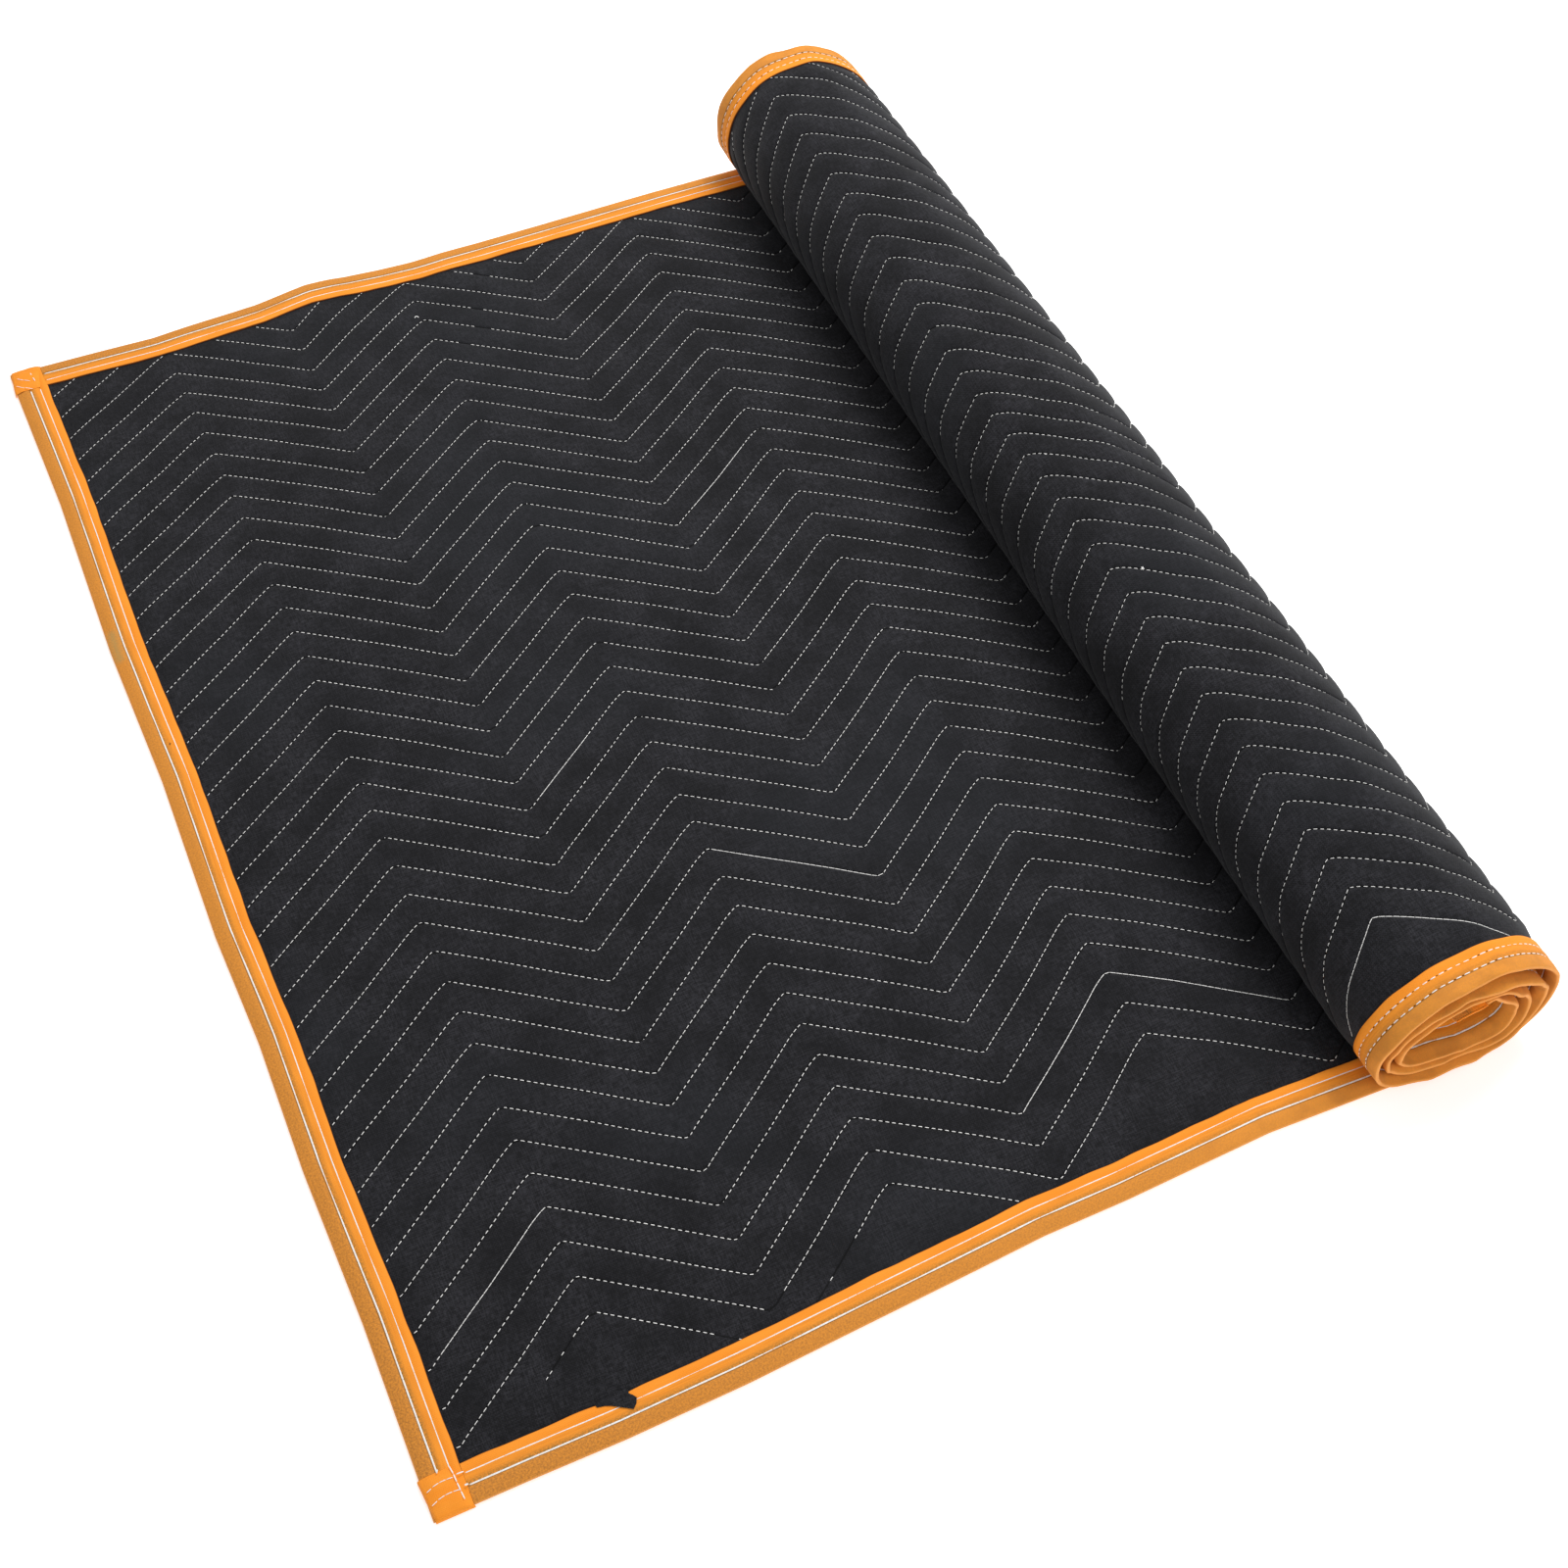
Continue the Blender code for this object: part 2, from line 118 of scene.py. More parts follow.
# Place across the pad in metres, then how far the flat end strays in millimetres
FLAT_END = (
    (0.00, 0.0), (0.13, 1.2), (0.24, -0.8), (0.34, 1.0), (0.43, -1.6), (0.57, 1.0), (0.70, -1.8),
    (0.86, 1.4), (1.00, -0.8),
)
FLAT_END_REACH = 0.30
# Place along the pad in metres, then the finer waves of the far edge in millimetres
FAR_WAVES = (
    (0.150, 0.0), (0.195, -1.6), (0.210, -1.6), (0.225, 0.2), (0.241, 2.4), (0.257, 4.2),
    (0.270, 3.0), (0.291, 0.2), (0.321, -1.7), (0.350, -2.2), (0.379, -0.2), (0.410, 0.0),
)
FAR_WAVES_REACH = 0.10
ROLL_SKEW = 0.008

# Shape of one zigzag period, in legs and parts of the rise, with a soft shoulder before each peak
ZIGZAG = ((0.0, 0.0), (0.05, 0.056), (0.5, 0.503), (0.88, 0.905), (0.95, 0.966), (1.0, 1.0),
          (1.03, 0.972), (1.5, 0.497), (1.965, 0.012), (2.0, 0.0))
# How far the quilting strays from its even pattern, in millimetres, at some of the lines, and the
# columns of these tables. On the flat stretch it is given at each valley and peak
ALONG, ACROSS, RIGHT, LEFT = 1, 2, 3, 4
FLAT_SWAY = (
    (0, (5.0, 3.5, 2.8, 2.1, 2.2, 1.6, 3.0), (-1.4, 1.2, 0.7, -1.0, -0.2, -1.9, 2.5)),
    (8, (2.2, 2.5, 2.3, 0.7, -0.6, 0.2, 3.0), (-1.5, 1.6, 0.1, -1.0, -1.8, 0.3, 3.0)),
    (16, (2.5, 2.6, 3.2, 1.8, 3.0, 1.8, 3.0), (0.5, 2.4, -0.6, -0.4, 1.2, 1.9, 3.5)),
    (24, (1.5, 3.3, 3.2, 2.4, 2.7, 2.3, 3.0), (0.5, 2.2, -1.6, 0.5, 1.8, 3.0, 4.0)),
    (30, (0.5, 0.3, 3.0, 1.6, 0.8, 4.1, 4.0), (-1.5, -0.6, -1.9, -1.7, 0.8, 2.3, 5.0)),
    (36, (-1.5, -2.5, 1.0, 2.0, 2.5, 4.0, 4.0), (-2.0, -2.0, -3.3, -0.9, 4.0, 4.2, 5.5)),
)
# On the roll, where the cloth is drawn up, also how strongly the legs are pulled right and left of
# the peak
ROLL_SWAY = (
    (0, 13.5, 4.3, -0.5, 0.08), (5, 16.2, 1.2, 0.35, 0.55), (9, 17.0, -1.4, 0.7, 0.6),
    (12, 16.8, -3.7, 1.1, 0.75), (15, 16.9, -5.5, 0.8, 0.9), (18, 18.2, -9.3, 0.65, 1.1),
    (21, 20.8, -14.7, 1.3, 1.1), (23, 19.4, -14.6, 1.75, 1.2), (26, 14.2, -9.5, 1.85, 1.2),
    (28, 13.6, -3.1, 1.7, 1.0), (30, 9.8, 0.1, 1.35, 0.7), (33, 10.0, 6.8, 1.1, 0.15),
    (36, 9.0, 11.0, 0.0, 0.1),
)
# Legs, the pull across the pad that those strengths multiply, and the pull that all lines share
ROLL_PULL = (
    (7.4, 0.0, 0.0), (7.9, -4.0, 8.0), (8.05, -4.6, 10.0), (8.15, -4.7, 8.0), (8.25, -4.9, 6.4),
    (8.35, -5.1, 4.7), (8.5, -5.4, 2.0), (8.65, -5.2, 1.0), (8.8, -4.2, 0.0), (8.98, -1.0, 0.0),
    (9.1, 1.4, 0.8), (9.25, 4.2, 0.6), (9.4, 8.0, 1.5), (9.55, 11.0, 5.0), (9.7, 13.0, 6.0),
    (10.2, 8.0, 0.0), (10.6, 0.0, 0.0),
)
# Legs over which the first table gives way to the second
SWAY_LEGS = (6.2, 7.4)
# Rows of points between one stitched line and the next, in line pitches
ROW_STEPS = (0.0, 0.045, 0.12, 0.25, 0.5, 0.75, 0.88, 0.955)
# Stretches of the top and of the underside that are quilted, and how close their cross rows lie
TOP_QUILT = (27 * MM, FIRST_VALLEY_S + 6.75 * LEG_LENGTH)
UNDER_QUILT = (FIRST_VALLEY_S + 6.8 * LEG_LENGTH, FIRST_VALLEY_S + 10.9 * LEG_LENGTH)
FLAT_COLUMNS_PER_LEG = 17
ROLL_COLUMNS_PER_LEG = 20
# Rows of points where the face isn't quilted, across the pad
PLAIN_ROWS = (0.034, 0.045, 0.06, 0.08, 0.11, 0.15, 0.2, 0.3, 0.42, 0.55, 0.7, 0.82, 0.9, 0.94, 0.97)

# Points of the tape's outside and inside, in millimetres in from the fold, and its seams
TAPE_OUTSIDES = (25.5, 25.1, 22.4, 20.1, 19.0, 17.9, 15.2, 12.6, 11.4, 10.2, 7.0, 4.2, 2.0, 0.8, 0.2, 0.0)
TAPE_INSIDES = (25.5, 19.0, 11.4, 3.0, 1.2)
OUTER_SEAM = 11.4 * MM
INNER_SEAM = 19.0 * MM
SEAM_DENT = 0.6 * MM

# Thread: pitch, part of the pitch that shows, half width and how far it stands up
ThreadRow = namedtuple("ThreadRow", "pitch shown half_width stand")
QUILT_THREAD = ThreadRow(4.5 * MM, 0.66, 0.27 * MM, 0.30 * MM)
RISING_THREAD = ThreadRow(4.5 * MM, 0.78, 0.24 * MM, 0.27 * MM)
SOLID_THREAD = ThreadRow(4.5 * MM, 1.10, 0.25 * MM, 0.27 * MM)
ROLL_THREAD = ThreadRow(4.5 * MM, 0.64, 0.24 * MM, 0.28 * MM)
OUTER_SEAM_THREAD = ThreadRow(6.3 * MM, 1.32, 0.52 * MM, 0.44 * MM)
INNER_SEAM_THREAD = ThreadRow(6.3 * MM, 1.32, 0.36 * MM, 0.30 * MM)
ROLL_SEAM_THREAD = ThreadRow(6.3 * MM, 0.72, 0.34 * MM, 0.34 * MM)
TACK_THREAD = ThreadRow(3.0 * MM, 1.1, 0.36 * MM, 0.30 * MM)
HOLE_ROW = ThreadRow(6.3 * MM, 0.28, 0.34 * MM, 0.10 * MM)
FAINT_THREAD = ThreadRow(4.0 * MM, 1.0, 0.24 * MM, 0.14 * MM)
# Angles of the points round a stitch
RING = tuple(math.radians(90 * i) for i in range(4))
# A stitch: its ends in pad coordinates, its thread row, its height and 1 on top or -1 underneath
Stitch = namedtuple("Stitch", "start end thread height side")
# Height of a tab's puffed cloth over the tape under it, its shape, and the seams seen on the tabs
TAB_PUFF = 0.5 * MM
TAB_LIFT = 0.30 * MM
TAB_SLANT = 5.0 * MM
TAB_LEAN = 2.4 * MM
TAB_STRETCH = 1.07
TAB_STEPS = (0, 0.08, 0.3, 0.8, 1.6, 2.6, 4.2, 6.5, 9, 11.5, 14, 16.5, 19, 21.5, 23.4, 24.6, 25.2)
TAB_ROUNDING = 1.8 * MM
TAB_SEAMS = (
    (((0.0020, 0.0165), (0.0062, 0.0181), (0.0105, 0.0190), (0.0150, 0.0191), (0.0192, 0.0187)),
     FAINT_THREAD),
    (((0.0022, 0.0080), (0.0068, 0.0098), (0.0114, 0.0108), (0.0162, 0.0109), (0.0212, 0.0104)),
     FAINT_THREAD),
    (((0.0212, 0.0196), (0.0262, 0.0194)), INNER_SEAM_THREAD),
    (((0.0236, 0.0116), (0.0262, 0.0115)), OUTER_SEAM_THREAD),
    (((0.0044, 1.0047), (0.0092, 1.0013), (0.0141, 0.9983)), FAINT_THREAD),
    (((0.0017, 0.9972), (0.0078, 0.9925), (0.0139, 0.9885)), FAINT_THREAD),
    (((0.0212, 0.0039), (0.0207, 0.0095), (0.0203, 0.0150), (0.0200, 0.0205), (0.0192, 0.0259)),
     INNER_SEAM_THREAD),
    (((0.0124, 0.0268), (0.0112, 0.0245)), INNER_SEAM_THREAD),
    (((0.0163, 1.0072), (0.0166, 1.0045)), TACK_THREAD),
    (((0.0170, 1.0015), (0.0177, 0.9968)), TACK_THREAD),
)

# Stretches of a stitched line, in legs, where the stitches touch
SOLID_STRETCHES = ((0, 8.0, 10.0), (11, 3.0, 4.0), (3, 0.1, 1.0), (3, 4.0, 6.0), (17, 2.1, 2.6),
                   (25, 4.2, 4.8))
# Whether the rising legs of the lines are stitched softly, in turn
SOFT_RISES = (False, True, False, False, False, True, False)
# Stretches of a stitched line, in s, where the stitches are missing
MISSING = (
    (0, 0.020, 0.0885), (0, 0.0948, 0.1005), (0, 0.1045, 0.1135), (0, 0.1936, 0.1953), (0, 0.1975, 0.2055),
    (0, 0.2090, 0.2715), (0, 0.2765, 0.2975), (0, 0.4600, 0.7500),
    (1, 0.2270, 0.2415), (37, 0.3935, 0.4045), (35, 0.3750, 0.3850), (34, 0.3720, 0.3800),
    (33, 0.3520, 0.3590),
)
# Where line 0 isn't quilted, along the pad
FIRST_LINE_GAPS = ((0.0, 0.0885), (0.46, 0.75))
# Legs past which no stitches show: at the foot of the roll, and by line on its shaded side
LAST_FLAT_LEG = 6.02
LAST_ROLL_LEG = ((0, 9.66), (8, 9.6), (14, 9.5), (24, 9.46), (30, 9.56), (36, 9.62))
# Knots and thread ends on the quilting, as start and end in pad coordinates
KNOTS = (
    ((0.3290, 0.9432), (0.3312, 0.9452)), ((0.3312, 0.9452), (0.3325, 0.9425)),
    ((0.3722, 0.0110), (0.3738, 0.0130)), ((0.3728, 0.0128), (0.3746, 0.0112)),
    ((0.4640, 0.9990), (0.4672, 1.0016)),
)
ROLL_KNOTS = (
    ((0.9580, 0.5082), (0.9596, 0.5110)), ((0.9600, 0.5084), (0.9574, 0.5106)),
    ((0.9506, 0.3808), (0.9520, 0.3838)), ((0.9524, 0.3812), (0.9502, 0.3834)),
)
# Black cloth that pokes out over the near binding: its corners, and how high it lies
TUFT_LOW = 4.9 * MM
TUFT_HIGH = 5.5 * MM
TUFT = ((0.1104, 0.0272), (0.1115, 0.0238), (0.1160, 0.0229), (0.1195, 0.0214), (0.1250, 0.0180),
        (0.1311, 0.0140), (0.1340, 0.0166), (0.1355, 0.0197), (0.1338, 0.0222), (0.1321, 0.0239),
        (0.1326, 0.0272))
# Fine creases on the flat stretch, the speck and the stain on the left binding, as start and end
CREASES = (
    ((0.4501, 0.2817), (0.4465, 0.2653)), ((0.4831, 0.2987), (0.4787, 0.2846)),
    ((0.4767, 0.2469), (0.4740, 0.2325)), ((0.4816, 0.2027), (0.4840, 0.1908)),
    ((0.4888, 0.1799), (0.4869, 0.1659)), ((0.4363, 0.2323), (0.4400, 0.2132)),
)
LEFT_MAP_START = 10.0
SPECK = ((LEFT_MAP_START + 0.5980, 0.0150), (LEFT_MAP_START + 0.5990, 0.0154))
STAIN = ((LEFT_MAP_START + 0.690, 0.0045), (LEFT_MAP_START + 0.714, 0.0055))

# Colour sockets of a mix node
MIX_LOW, MIX_HIGH, MIX_RESULT = 6, 7, 2
# Colours of the tape's strips, from darkest to lightest
OCHRE = ((0.45, 0.175, 0.028), (0.72, 0.275, 0.036), (0.86, 0.320, 0.040))
MIDDLE_ORANGE = ((0.78, 0.255, 0.020), (0.92, 0.320, 0.026))
BRIGHT_ORANGE = ((0.93, 0.285, 0.016), (0.98, 0.330, 0.026))

# Low waves of the quilted panel, and how wide the slope from it down to the bindings is
WIDE_WAVE = 0.45 * MM
FINE_WAVE = 0.2 * MM
PANEL_SLOPE = 14 * MM
# Crumple of the edges on the roll: inwards at each edge, then up and down at the fold and over the
# strip, and how far in from the fold each reaches
NEAR_CRUMPLE = 1.3 * MM
FAR_CRUMPLE = 4.0 * MM
FOLD_CRUMPLE = 1.3 * MM
FOLD_CRUMPLE_WIDTH = 13 * MM
STRIP_CRUMPLE = 0.4 * MM
STRIP_CRUMPLE_WIDTH = 26 * MM
# Small puffs of the tape, and how far its raw edges wave
TAPE_PUFF = 0.22 * MM
TAPE_WAVE = 0.5 * MM
# How far the seams and the quilting wander, and how unevenly they are stitched
SEAM_WANDER = 0.3 * MM
QUILT_WANDER = 0.5 * MM
PITCH_SPREAD = 0.12
SHOWN_SPREAD = 0.1

FLOOR_REACH = 6.0
FLOOR_GLOW = 0.42
WORLD_LIGHT = 0.52
LightRow = namedtuple("LightRow", "name at target size power")
LIGHTS = (
    LightRow("key_light", (1.1, 0.9, 2.2), (0.0, 0.0, 0.0), 1.6, 50),
    LightRow("fill_light", (0.5, -1.9, 1.7), (0.1, -0.1, 0.0), 2.2, 14),
)
# Camera of the photo, in pad coordinates
CAMERA_AT = (0.03523, -0.33600, 1.23135)
CAMERA_RIGHT = (0.90231, -0.43052, 0.02301)
CAMERA_UP = (0.34806, 0.75892, 0.55039)
CAMERA_BACK = (-0.25441, -0.48860, 0.83460)
PHOTO_WIDTH_PX = 1600
FOCAL_PX = 2058.56
SENSOR_MM = 36.0


def smooth_step(value):
    value = np.clip(value, 0, 1)
    return value * value * (3 - 2 * value)


def look_up(table, at, column=1):
    """A column of a table, read between its rows at values of its first column."""
    return np.interp(at, [row[0] for row in table], [row[column] for row in table])


def round_value(angles, values, angle):
    """Smooth value at an angle, from values given at angles all the way round a circle."""
    count = len(angles)
    angle = (angle - angles[0]) % 360 + angles[0]
    first = max(i for i in range(count) if angles[i] <= angle)

    def at(i):
        return angles[i % count] + 360 * (i // count), values[i % count]

    (a0, v0), (a1, v1), (a2, v2), (a3, v3) = (at(first + i) for i in (-1, 0, 1, 2))
    slope1 = (v2 - v0) / (a2 - a0) * (a2 - a1)
    slope2 = (v3 - v1) / (a3 - a1) * (a2 - a1)
    u = (angle - a1) / (a2 - a1)
    return (v1 * (2 * u**3 - 3 * u**2 + 1) + v2 * (3 * u**2 - 2 * u**3)
            + slope1 * (u**3 - 2 * u**2 + u) + slope2 * (u**3 - u**2))


def roll_path():
    """Turns, x and z of the roll's underside, every few millimetres along it, with its length."""
    angles = [row[0] for row in SECTION]
    radii = [row[1] * MM for row in SECTION]
    wind_ins = [row[2] * MM for row in SECTION]
    turns = np.linspace(0, MAX_TURNS, int(MAX_TURNS * PATH_STEPS_PER_TURN) + 1)
    points = []
    for turn in turns:
        angle = -90 + 360 * turn
        radius = round_value(angles, radii, angle) - turn * round_value(angles, wind_ins, angle)
        x = FLAT_LENGTH + radius * math.cos(math.radians(angle))
        z = ROLL_CENTRE_HIGH + radius * math.sin(math.radians(angle))
        points.append((x, max(z, 0.0)))
    points = np.array(points)
    steps = np.hypot(*np.diff(points, axis=0).T)
    return turns, points, np.concatenate([[0], np.cumsum(steps)])


PATH_TURNS, PATH_POINTS, PATH_LENGTHS = roll_path()
PATH_TANGENTS = np.gradient(PATH_POINTS, PATH_LENGTHS, axis=0)


def turn_at(s):
    return np.interp(np.asarray(s) - FLAT_LENGTH, PATH_LENGTHS, PATH_TURNS)


def place_unshifted(s, v, h):
    """Points in the part's own frame before it is centred, from arrays of pad coordinates."""
    s, v, h = (np.asarray(a, float) for a in (s, v, h))
    on_roll = s > FLAT_LENGTH
    along = np.maximum(s - FLAT_LENGTH, 0)
    path = [np.interp(along, PATH_LENGTHS, values)
            for values in (*PATH_POINTS.T, *PATH_TANGENTS.T)]
    size = np.hypot(path[2], path[3])
    x = np.where(on_roll, path[0] - h * path[3] / size, s)
    z = np.where(on_roll, path[1] + h * path[2] / size, h)
    slip = look_up(ROLL_SLIPS, turn_at(s))
    first_slip = ROLL_SLIPS[0][1]
    edges = (*FLAT_EDGES, (FLAT_LENGTH, first_slip, first_slip + FAR_EDGE_SLIP))
    near = np.where(on_roll, slip, look_up(edges, s, 1))
    far = np.where(on_roll, slip + FAR_EDGE_SLIP, look_up(edges, s, 2))
    share = v / WIDTH
    x = x + ROLL_SKEW * (0.5 - share) * np.minimum(s / FLAT_LENGTH, 1)
    x = x + look_up(FLAT_END, v) * MM * np.maximum(1 - s / FLAT_END_REACH, 0)
    waves = look_up(FAR_WAVES, s) * smooth_step(1 - (WIDTH - v) / FAR_WAVES_REACH)
    y = v + (near * (1 - share) + far * share + waves) * MM
    return np.stack([x, y, z], axis=-1)


def find_shift():
    """How far centring moved the part, read off the corner tab's box."""
    tab_wrap = -(BINDING_CLOTH + CLOTH_GAP)
    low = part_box("tab_near_left")[0]
    corner_x = place_unshifted(tab_wrap, tab_wrap, 0)[0]
    corner_y = min(place_unshifted(s, tab_wrap, 0)[1] for s in (tab_wrap, TAB_SIZE / 2, TAB_SIZE))
    return np.array([low.x - corner_x, low.y - corner_y, CAD_BOX[0][2]])


SHIFT = find_shift()


def place(s, v, h):
    """Points in the row frame, kept just above the floor."""
    points = place_unshifted(s, v, h) + SHIFT
    points[..., 2] = np.maximum(points[..., 2], 0.2 * MM)
    return points


def bumps(s, v, scale, seed):
    """Smooth noise from about -1 to 1 over the pad; scale is in waves for each metre."""
    s, v = np.broadcast_arrays(np.asarray(s, float), np.asarray(v, float))
    values = [noise.noise((a * scale, b * scale, seed)) for a, b in zip(s.ravel(), v.ravel())]
    return np.array(values).reshape(s.shape) * 1.6


def sway(line, leg, column):
    """How far the quilting strays ALONG or ACROSS the pad, at places given by line number and leg."""
    on_roll = smooth_step((leg - SWAY_LEGS[0]) / (SWAY_LEGS[1] - SWAY_LEGS[0]))
    flat = 0
    last = len(FLAT_SWAY[0][column]) - 1
    for i in range(last + 1):
        at_mark = look_up([(row[0], row[column][i]) for row in FLAT_SWAY], line)
        flat = flat + at_mark * np.clip(1 - np.abs(np.clip(leg, 0, last) - i), 0, 1)
    roll = look_up(ROLL_SWAY, line, column)
    if column == ACROSS:
        pull = look_up(ROLL_PULL, leg, 1)
        strength = np.where(pull < 0, look_up(ROLL_SWAY, line, RIGHT), look_up(ROLL_SWAY, line, LEFT))
        roll = roll + strength * pull + look_up(ROLL_PULL, leg, 2)
    return (flat * (1 - on_roll) + roll * on_roll) * MM


def line_v(line, s):
    """Where a stitched line crosses each place along the pad."""
    line, s = np.broadcast_arrays(np.asarray(line, float), np.asarray(s, float))
    even_leg = (s - FIRST_VALLEY_S) / LEG_LENGTH
    leg = even_leg - sway(line, even_leg, ALONG) / LEG_LENGTH
    rise = ZIGZAG_RISE * look_up(ZIGZAG, leg % 2)
    drift = LINE_DRIFT * (s - FIRST_VALLEY_S)
    return FIRST_LINE_V + line * LINE_PITCH + rise + sway(line, even_leg, ACROSS) + drift


def line_number(s, v):
    """The number of the line through each point, with a fraction between two lines."""
    line = (np.asarray(v) - line_v(0.0, s)) / LINE_PITCH
    for _ in range(6):
        line = line + (np.asarray(v) - line_v(line, s)) / LINE_PITCH
    return line


def quilted_line(s, v):
    """The line number, held halfway between lines past the last one and where line 0 is left out."""
    s, line = np.asarray(s, float), line_number(s, v)
    left_out = sum((s >= low) & (s <= high) for low, high in FIRST_LINE_GAPS) > 0
    return np.clip(line, np.where(left_out, 0.5, -0.5), LAST_LINE + 0.5)


def tape_top(inset):
    """Height of a binding's upper side, thinner towards its fold."""
    return FOLD_TOP + (BINDING_TOP - FOLD_TOP) * smooth_step(np.asarray(inset) / FOLD_REACH)


def crumple(s, v):
    """How far the rolled-up edges are crumpled: in height, and inwards from the fold."""
    inset = np.minimum(v, WIDTH - v)
    turn = turn_at(s)
    # Less on the outermost turn than inside it, and none at the very end
    loose = smooth_step((turn - 0.1) / 0.4) * (0.45 + 0.55 * smooth_step((turn - 1.0) / 0.3))
    loose = loose * smooth_step((FLAT_LENGTH + PATH_LENGTHS[-1] - np.asarray(s)) / MM)
    at_fold = smooth_step(1 - inset / FOLD_CRUMPLE_WIDTH)
    on_strip = smooth_step((STRIP_CRUMPLE_WIDTH - inset) / (5 * MM))
    height = at_fold * FOLD_CRUMPLE * bumps(s, inset * 1.5, 55, 6.3)
    height = height + STRIP_CRUMPLE * bumps(s, inset * 0.6, 130, 2.9) * on_strip
    reach = np.where(v < WIDTH / 2, NEAR_CRUMPLE, FAR_CRUMPLE)
    return loose * height, loose * at_fold * reach * bumps(s, 0 * inset, 48, 3.3)


def surface(s, v, top):
    """Height of the quilted panel's top or underside."""
    s, v = np.asarray(s, float), np.asarray(v, float)
    line = quilted_line(s, v)
    away = np.abs(line - np.clip(np.round(line), 0, LAST_LINE))
    puff = np.sqrt(np.clip(1 - (1 - 2 * away) ** 2, 0, 1)) ** 0.8
    quilt = TOP_QUILT if top else UNDER_QUILT
    puff = np.where((s >= quilt[0]) & (s <= quilt[1]), puff, 0.9)
    inset = np.minimum(np.minimum(v, WIDTH - v), np.minimum(s, LENGTH - s))
    inside = smooth_step((inset - BINDING_WIDTH) / PANEL_SLOPE)
    waves = WIDE_WAVE * bumps(s, v, 9, 3.1) + FINE_WAVE * bumps(s, v, 34, 7.7)
    if top:
        border = tape_top(inset) - (BINDING_TOP - BORDER_HIGH)
        return border + inside * (STITCH_HIGH + (RIDGE_HIGH - STITCH_HIGH) * puff + waves - border)
    quilted = STITCH_LOW + (RIDGE_LOW - STITCH_LOW) * puff - 0.5 * waves
    return BORDER_LOW + inside * (quilted - BORDER_LOW)


class Builder:
    """Collects points in pad coordinates, and the faces between them."""

    def __init__(self):
        self.points = []
        self.faces = []

    def face(self, indices, flipped=False):
        kept = [index for i, index in enumerate(indices) if index != indices[i - 1]]
        if len(kept) >= 3:
            self.faces.append(kept[::-1] if flipped else kept)


def add_object(name, data):
    made = bpy.data.objects.new(name, data)
    bpy.context.scene.collection.objects.link(made)
    return made


def make_piece(name, coordinates, faces, material, uvs, lines=None):
    """A piece that rides on the body, with a map of its flat cloth and its points' line numbers."""
    mesh = bpy.data.meshes.new(name)
    mesh.from_pydata(coordinates.tolist(), [], faces)
    layer = mesh.uv_layers.new(name="UVMap")
    corners = np.empty(len(mesh.loops), np.int32)
    mesh.loops.foreach_get("vertex_index", corners)
    layer.data.foreach_set("uv", np.asarray(uvs, np.float32)[corners].ravel())
    if lines is not None:
        attribute = mesh.attributes.new("line_number", "FLOAT", "POINT")
        attribute.data.foreach_set("value", np.asarray(lines, np.float32))
    mesh.shade_smooth()
    mesh.set_sharp_from_angle(angle=math.radians(55))
    mesh.materials.append(material)
    piece = add_object(name, mesh)
    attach(piece, "root")
    return piece


def fill(tree, made, inputs):
    """Sets a node's inputs to values, or links them to other sockets."""
    for key, value in inputs.items():
        if isinstance(value, bpy.types.NodeSocket):
            tree.links.new(value, made.inputs[key])
        else:
            made.inputs[key].default_value = value


def node(tree, kind, inputs, **settings):
    made = tree.nodes.new(kind)
    for key, value in settings.items():
        setattr(made, key, value)
    fill(tree, made, inputs)
    return made


def calc(tree, operation, *values):
    return node(tree, "ShaderNodeMath", dict(enumerate(values)), operation=operation).outputs[0]


def times(tree, *values):
    return calc(tree, "MULTIPLY", *values)


def plus(tree, *values):
    return calc(tree, "ADD", *values)


def tint(tree, factor, low, high):
    """A colour between two, by a factor. They are colours, or sockets that give one."""
    inputs = {"Factor": factor}
    for key, value in ((MIX_LOW, low), (MIX_HIGH, high)):
        inputs[key] = value if isinstance(value, bpy.types.NodeSocket) else (*value, 1)
    return node(tree, "ShaderNodeMix", inputs, data_type="RGBA").outputs[MIX_RESULT]


def spread(tree, value, low, high, to_low=0.0, to_high=1.0):
    """A value carried from one range to another, and held at the ends."""
    inputs = (value, low, high, to_low, to_high)
    return node(tree, "ShaderNodeMapRange", dict(enumerate(inputs))).outputs[0]


def grain(tree, vector, scale, detail=2.0):
    inputs = {"Vector": vector, "Scale": scale, "Detail": detail}
    return node(tree, "ShaderNodeTexNoise", inputs).outputs[0]


def stretched(tree, x, y, x_scale, y_scale):
    """A vector from two values, each with its own scale."""
    inputs = {0: times(tree, x, x_scale), 1: times(tree, y, y_scale)}
    return node(tree, "ShaderNodeCombineXYZ", inputs).outputs[0]


def bump(tree, height, strength, distance):
    inputs = {"Height": height, "Strength": strength, "Distance": distance}
    return node(tree, "ShaderNodeBump", inputs).outputs[0]


def new_material(name, roughness):
    material = bpy.data.materials.new(name)
    material.use_nodes = True
    tree = material.node_tree
    shader = tree.nodes["Principled BSDF"]
    fill(tree, shader, {"Roughness": roughness, "Specular IOR Level": 0.3})
    return material, tree, shader


def flat_map(tree):
    """Sockets of the flat map: the whole vector, its x and its y."""
    uv = node(tree, "ShaderNodeUVMap", {}, uv_map="UVMap").outputs[0]
    parts = node(tree, "ShaderNodeSeparateXYZ", {0: uv})
    return uv, parts.outputs[0], parts.outputs[1]


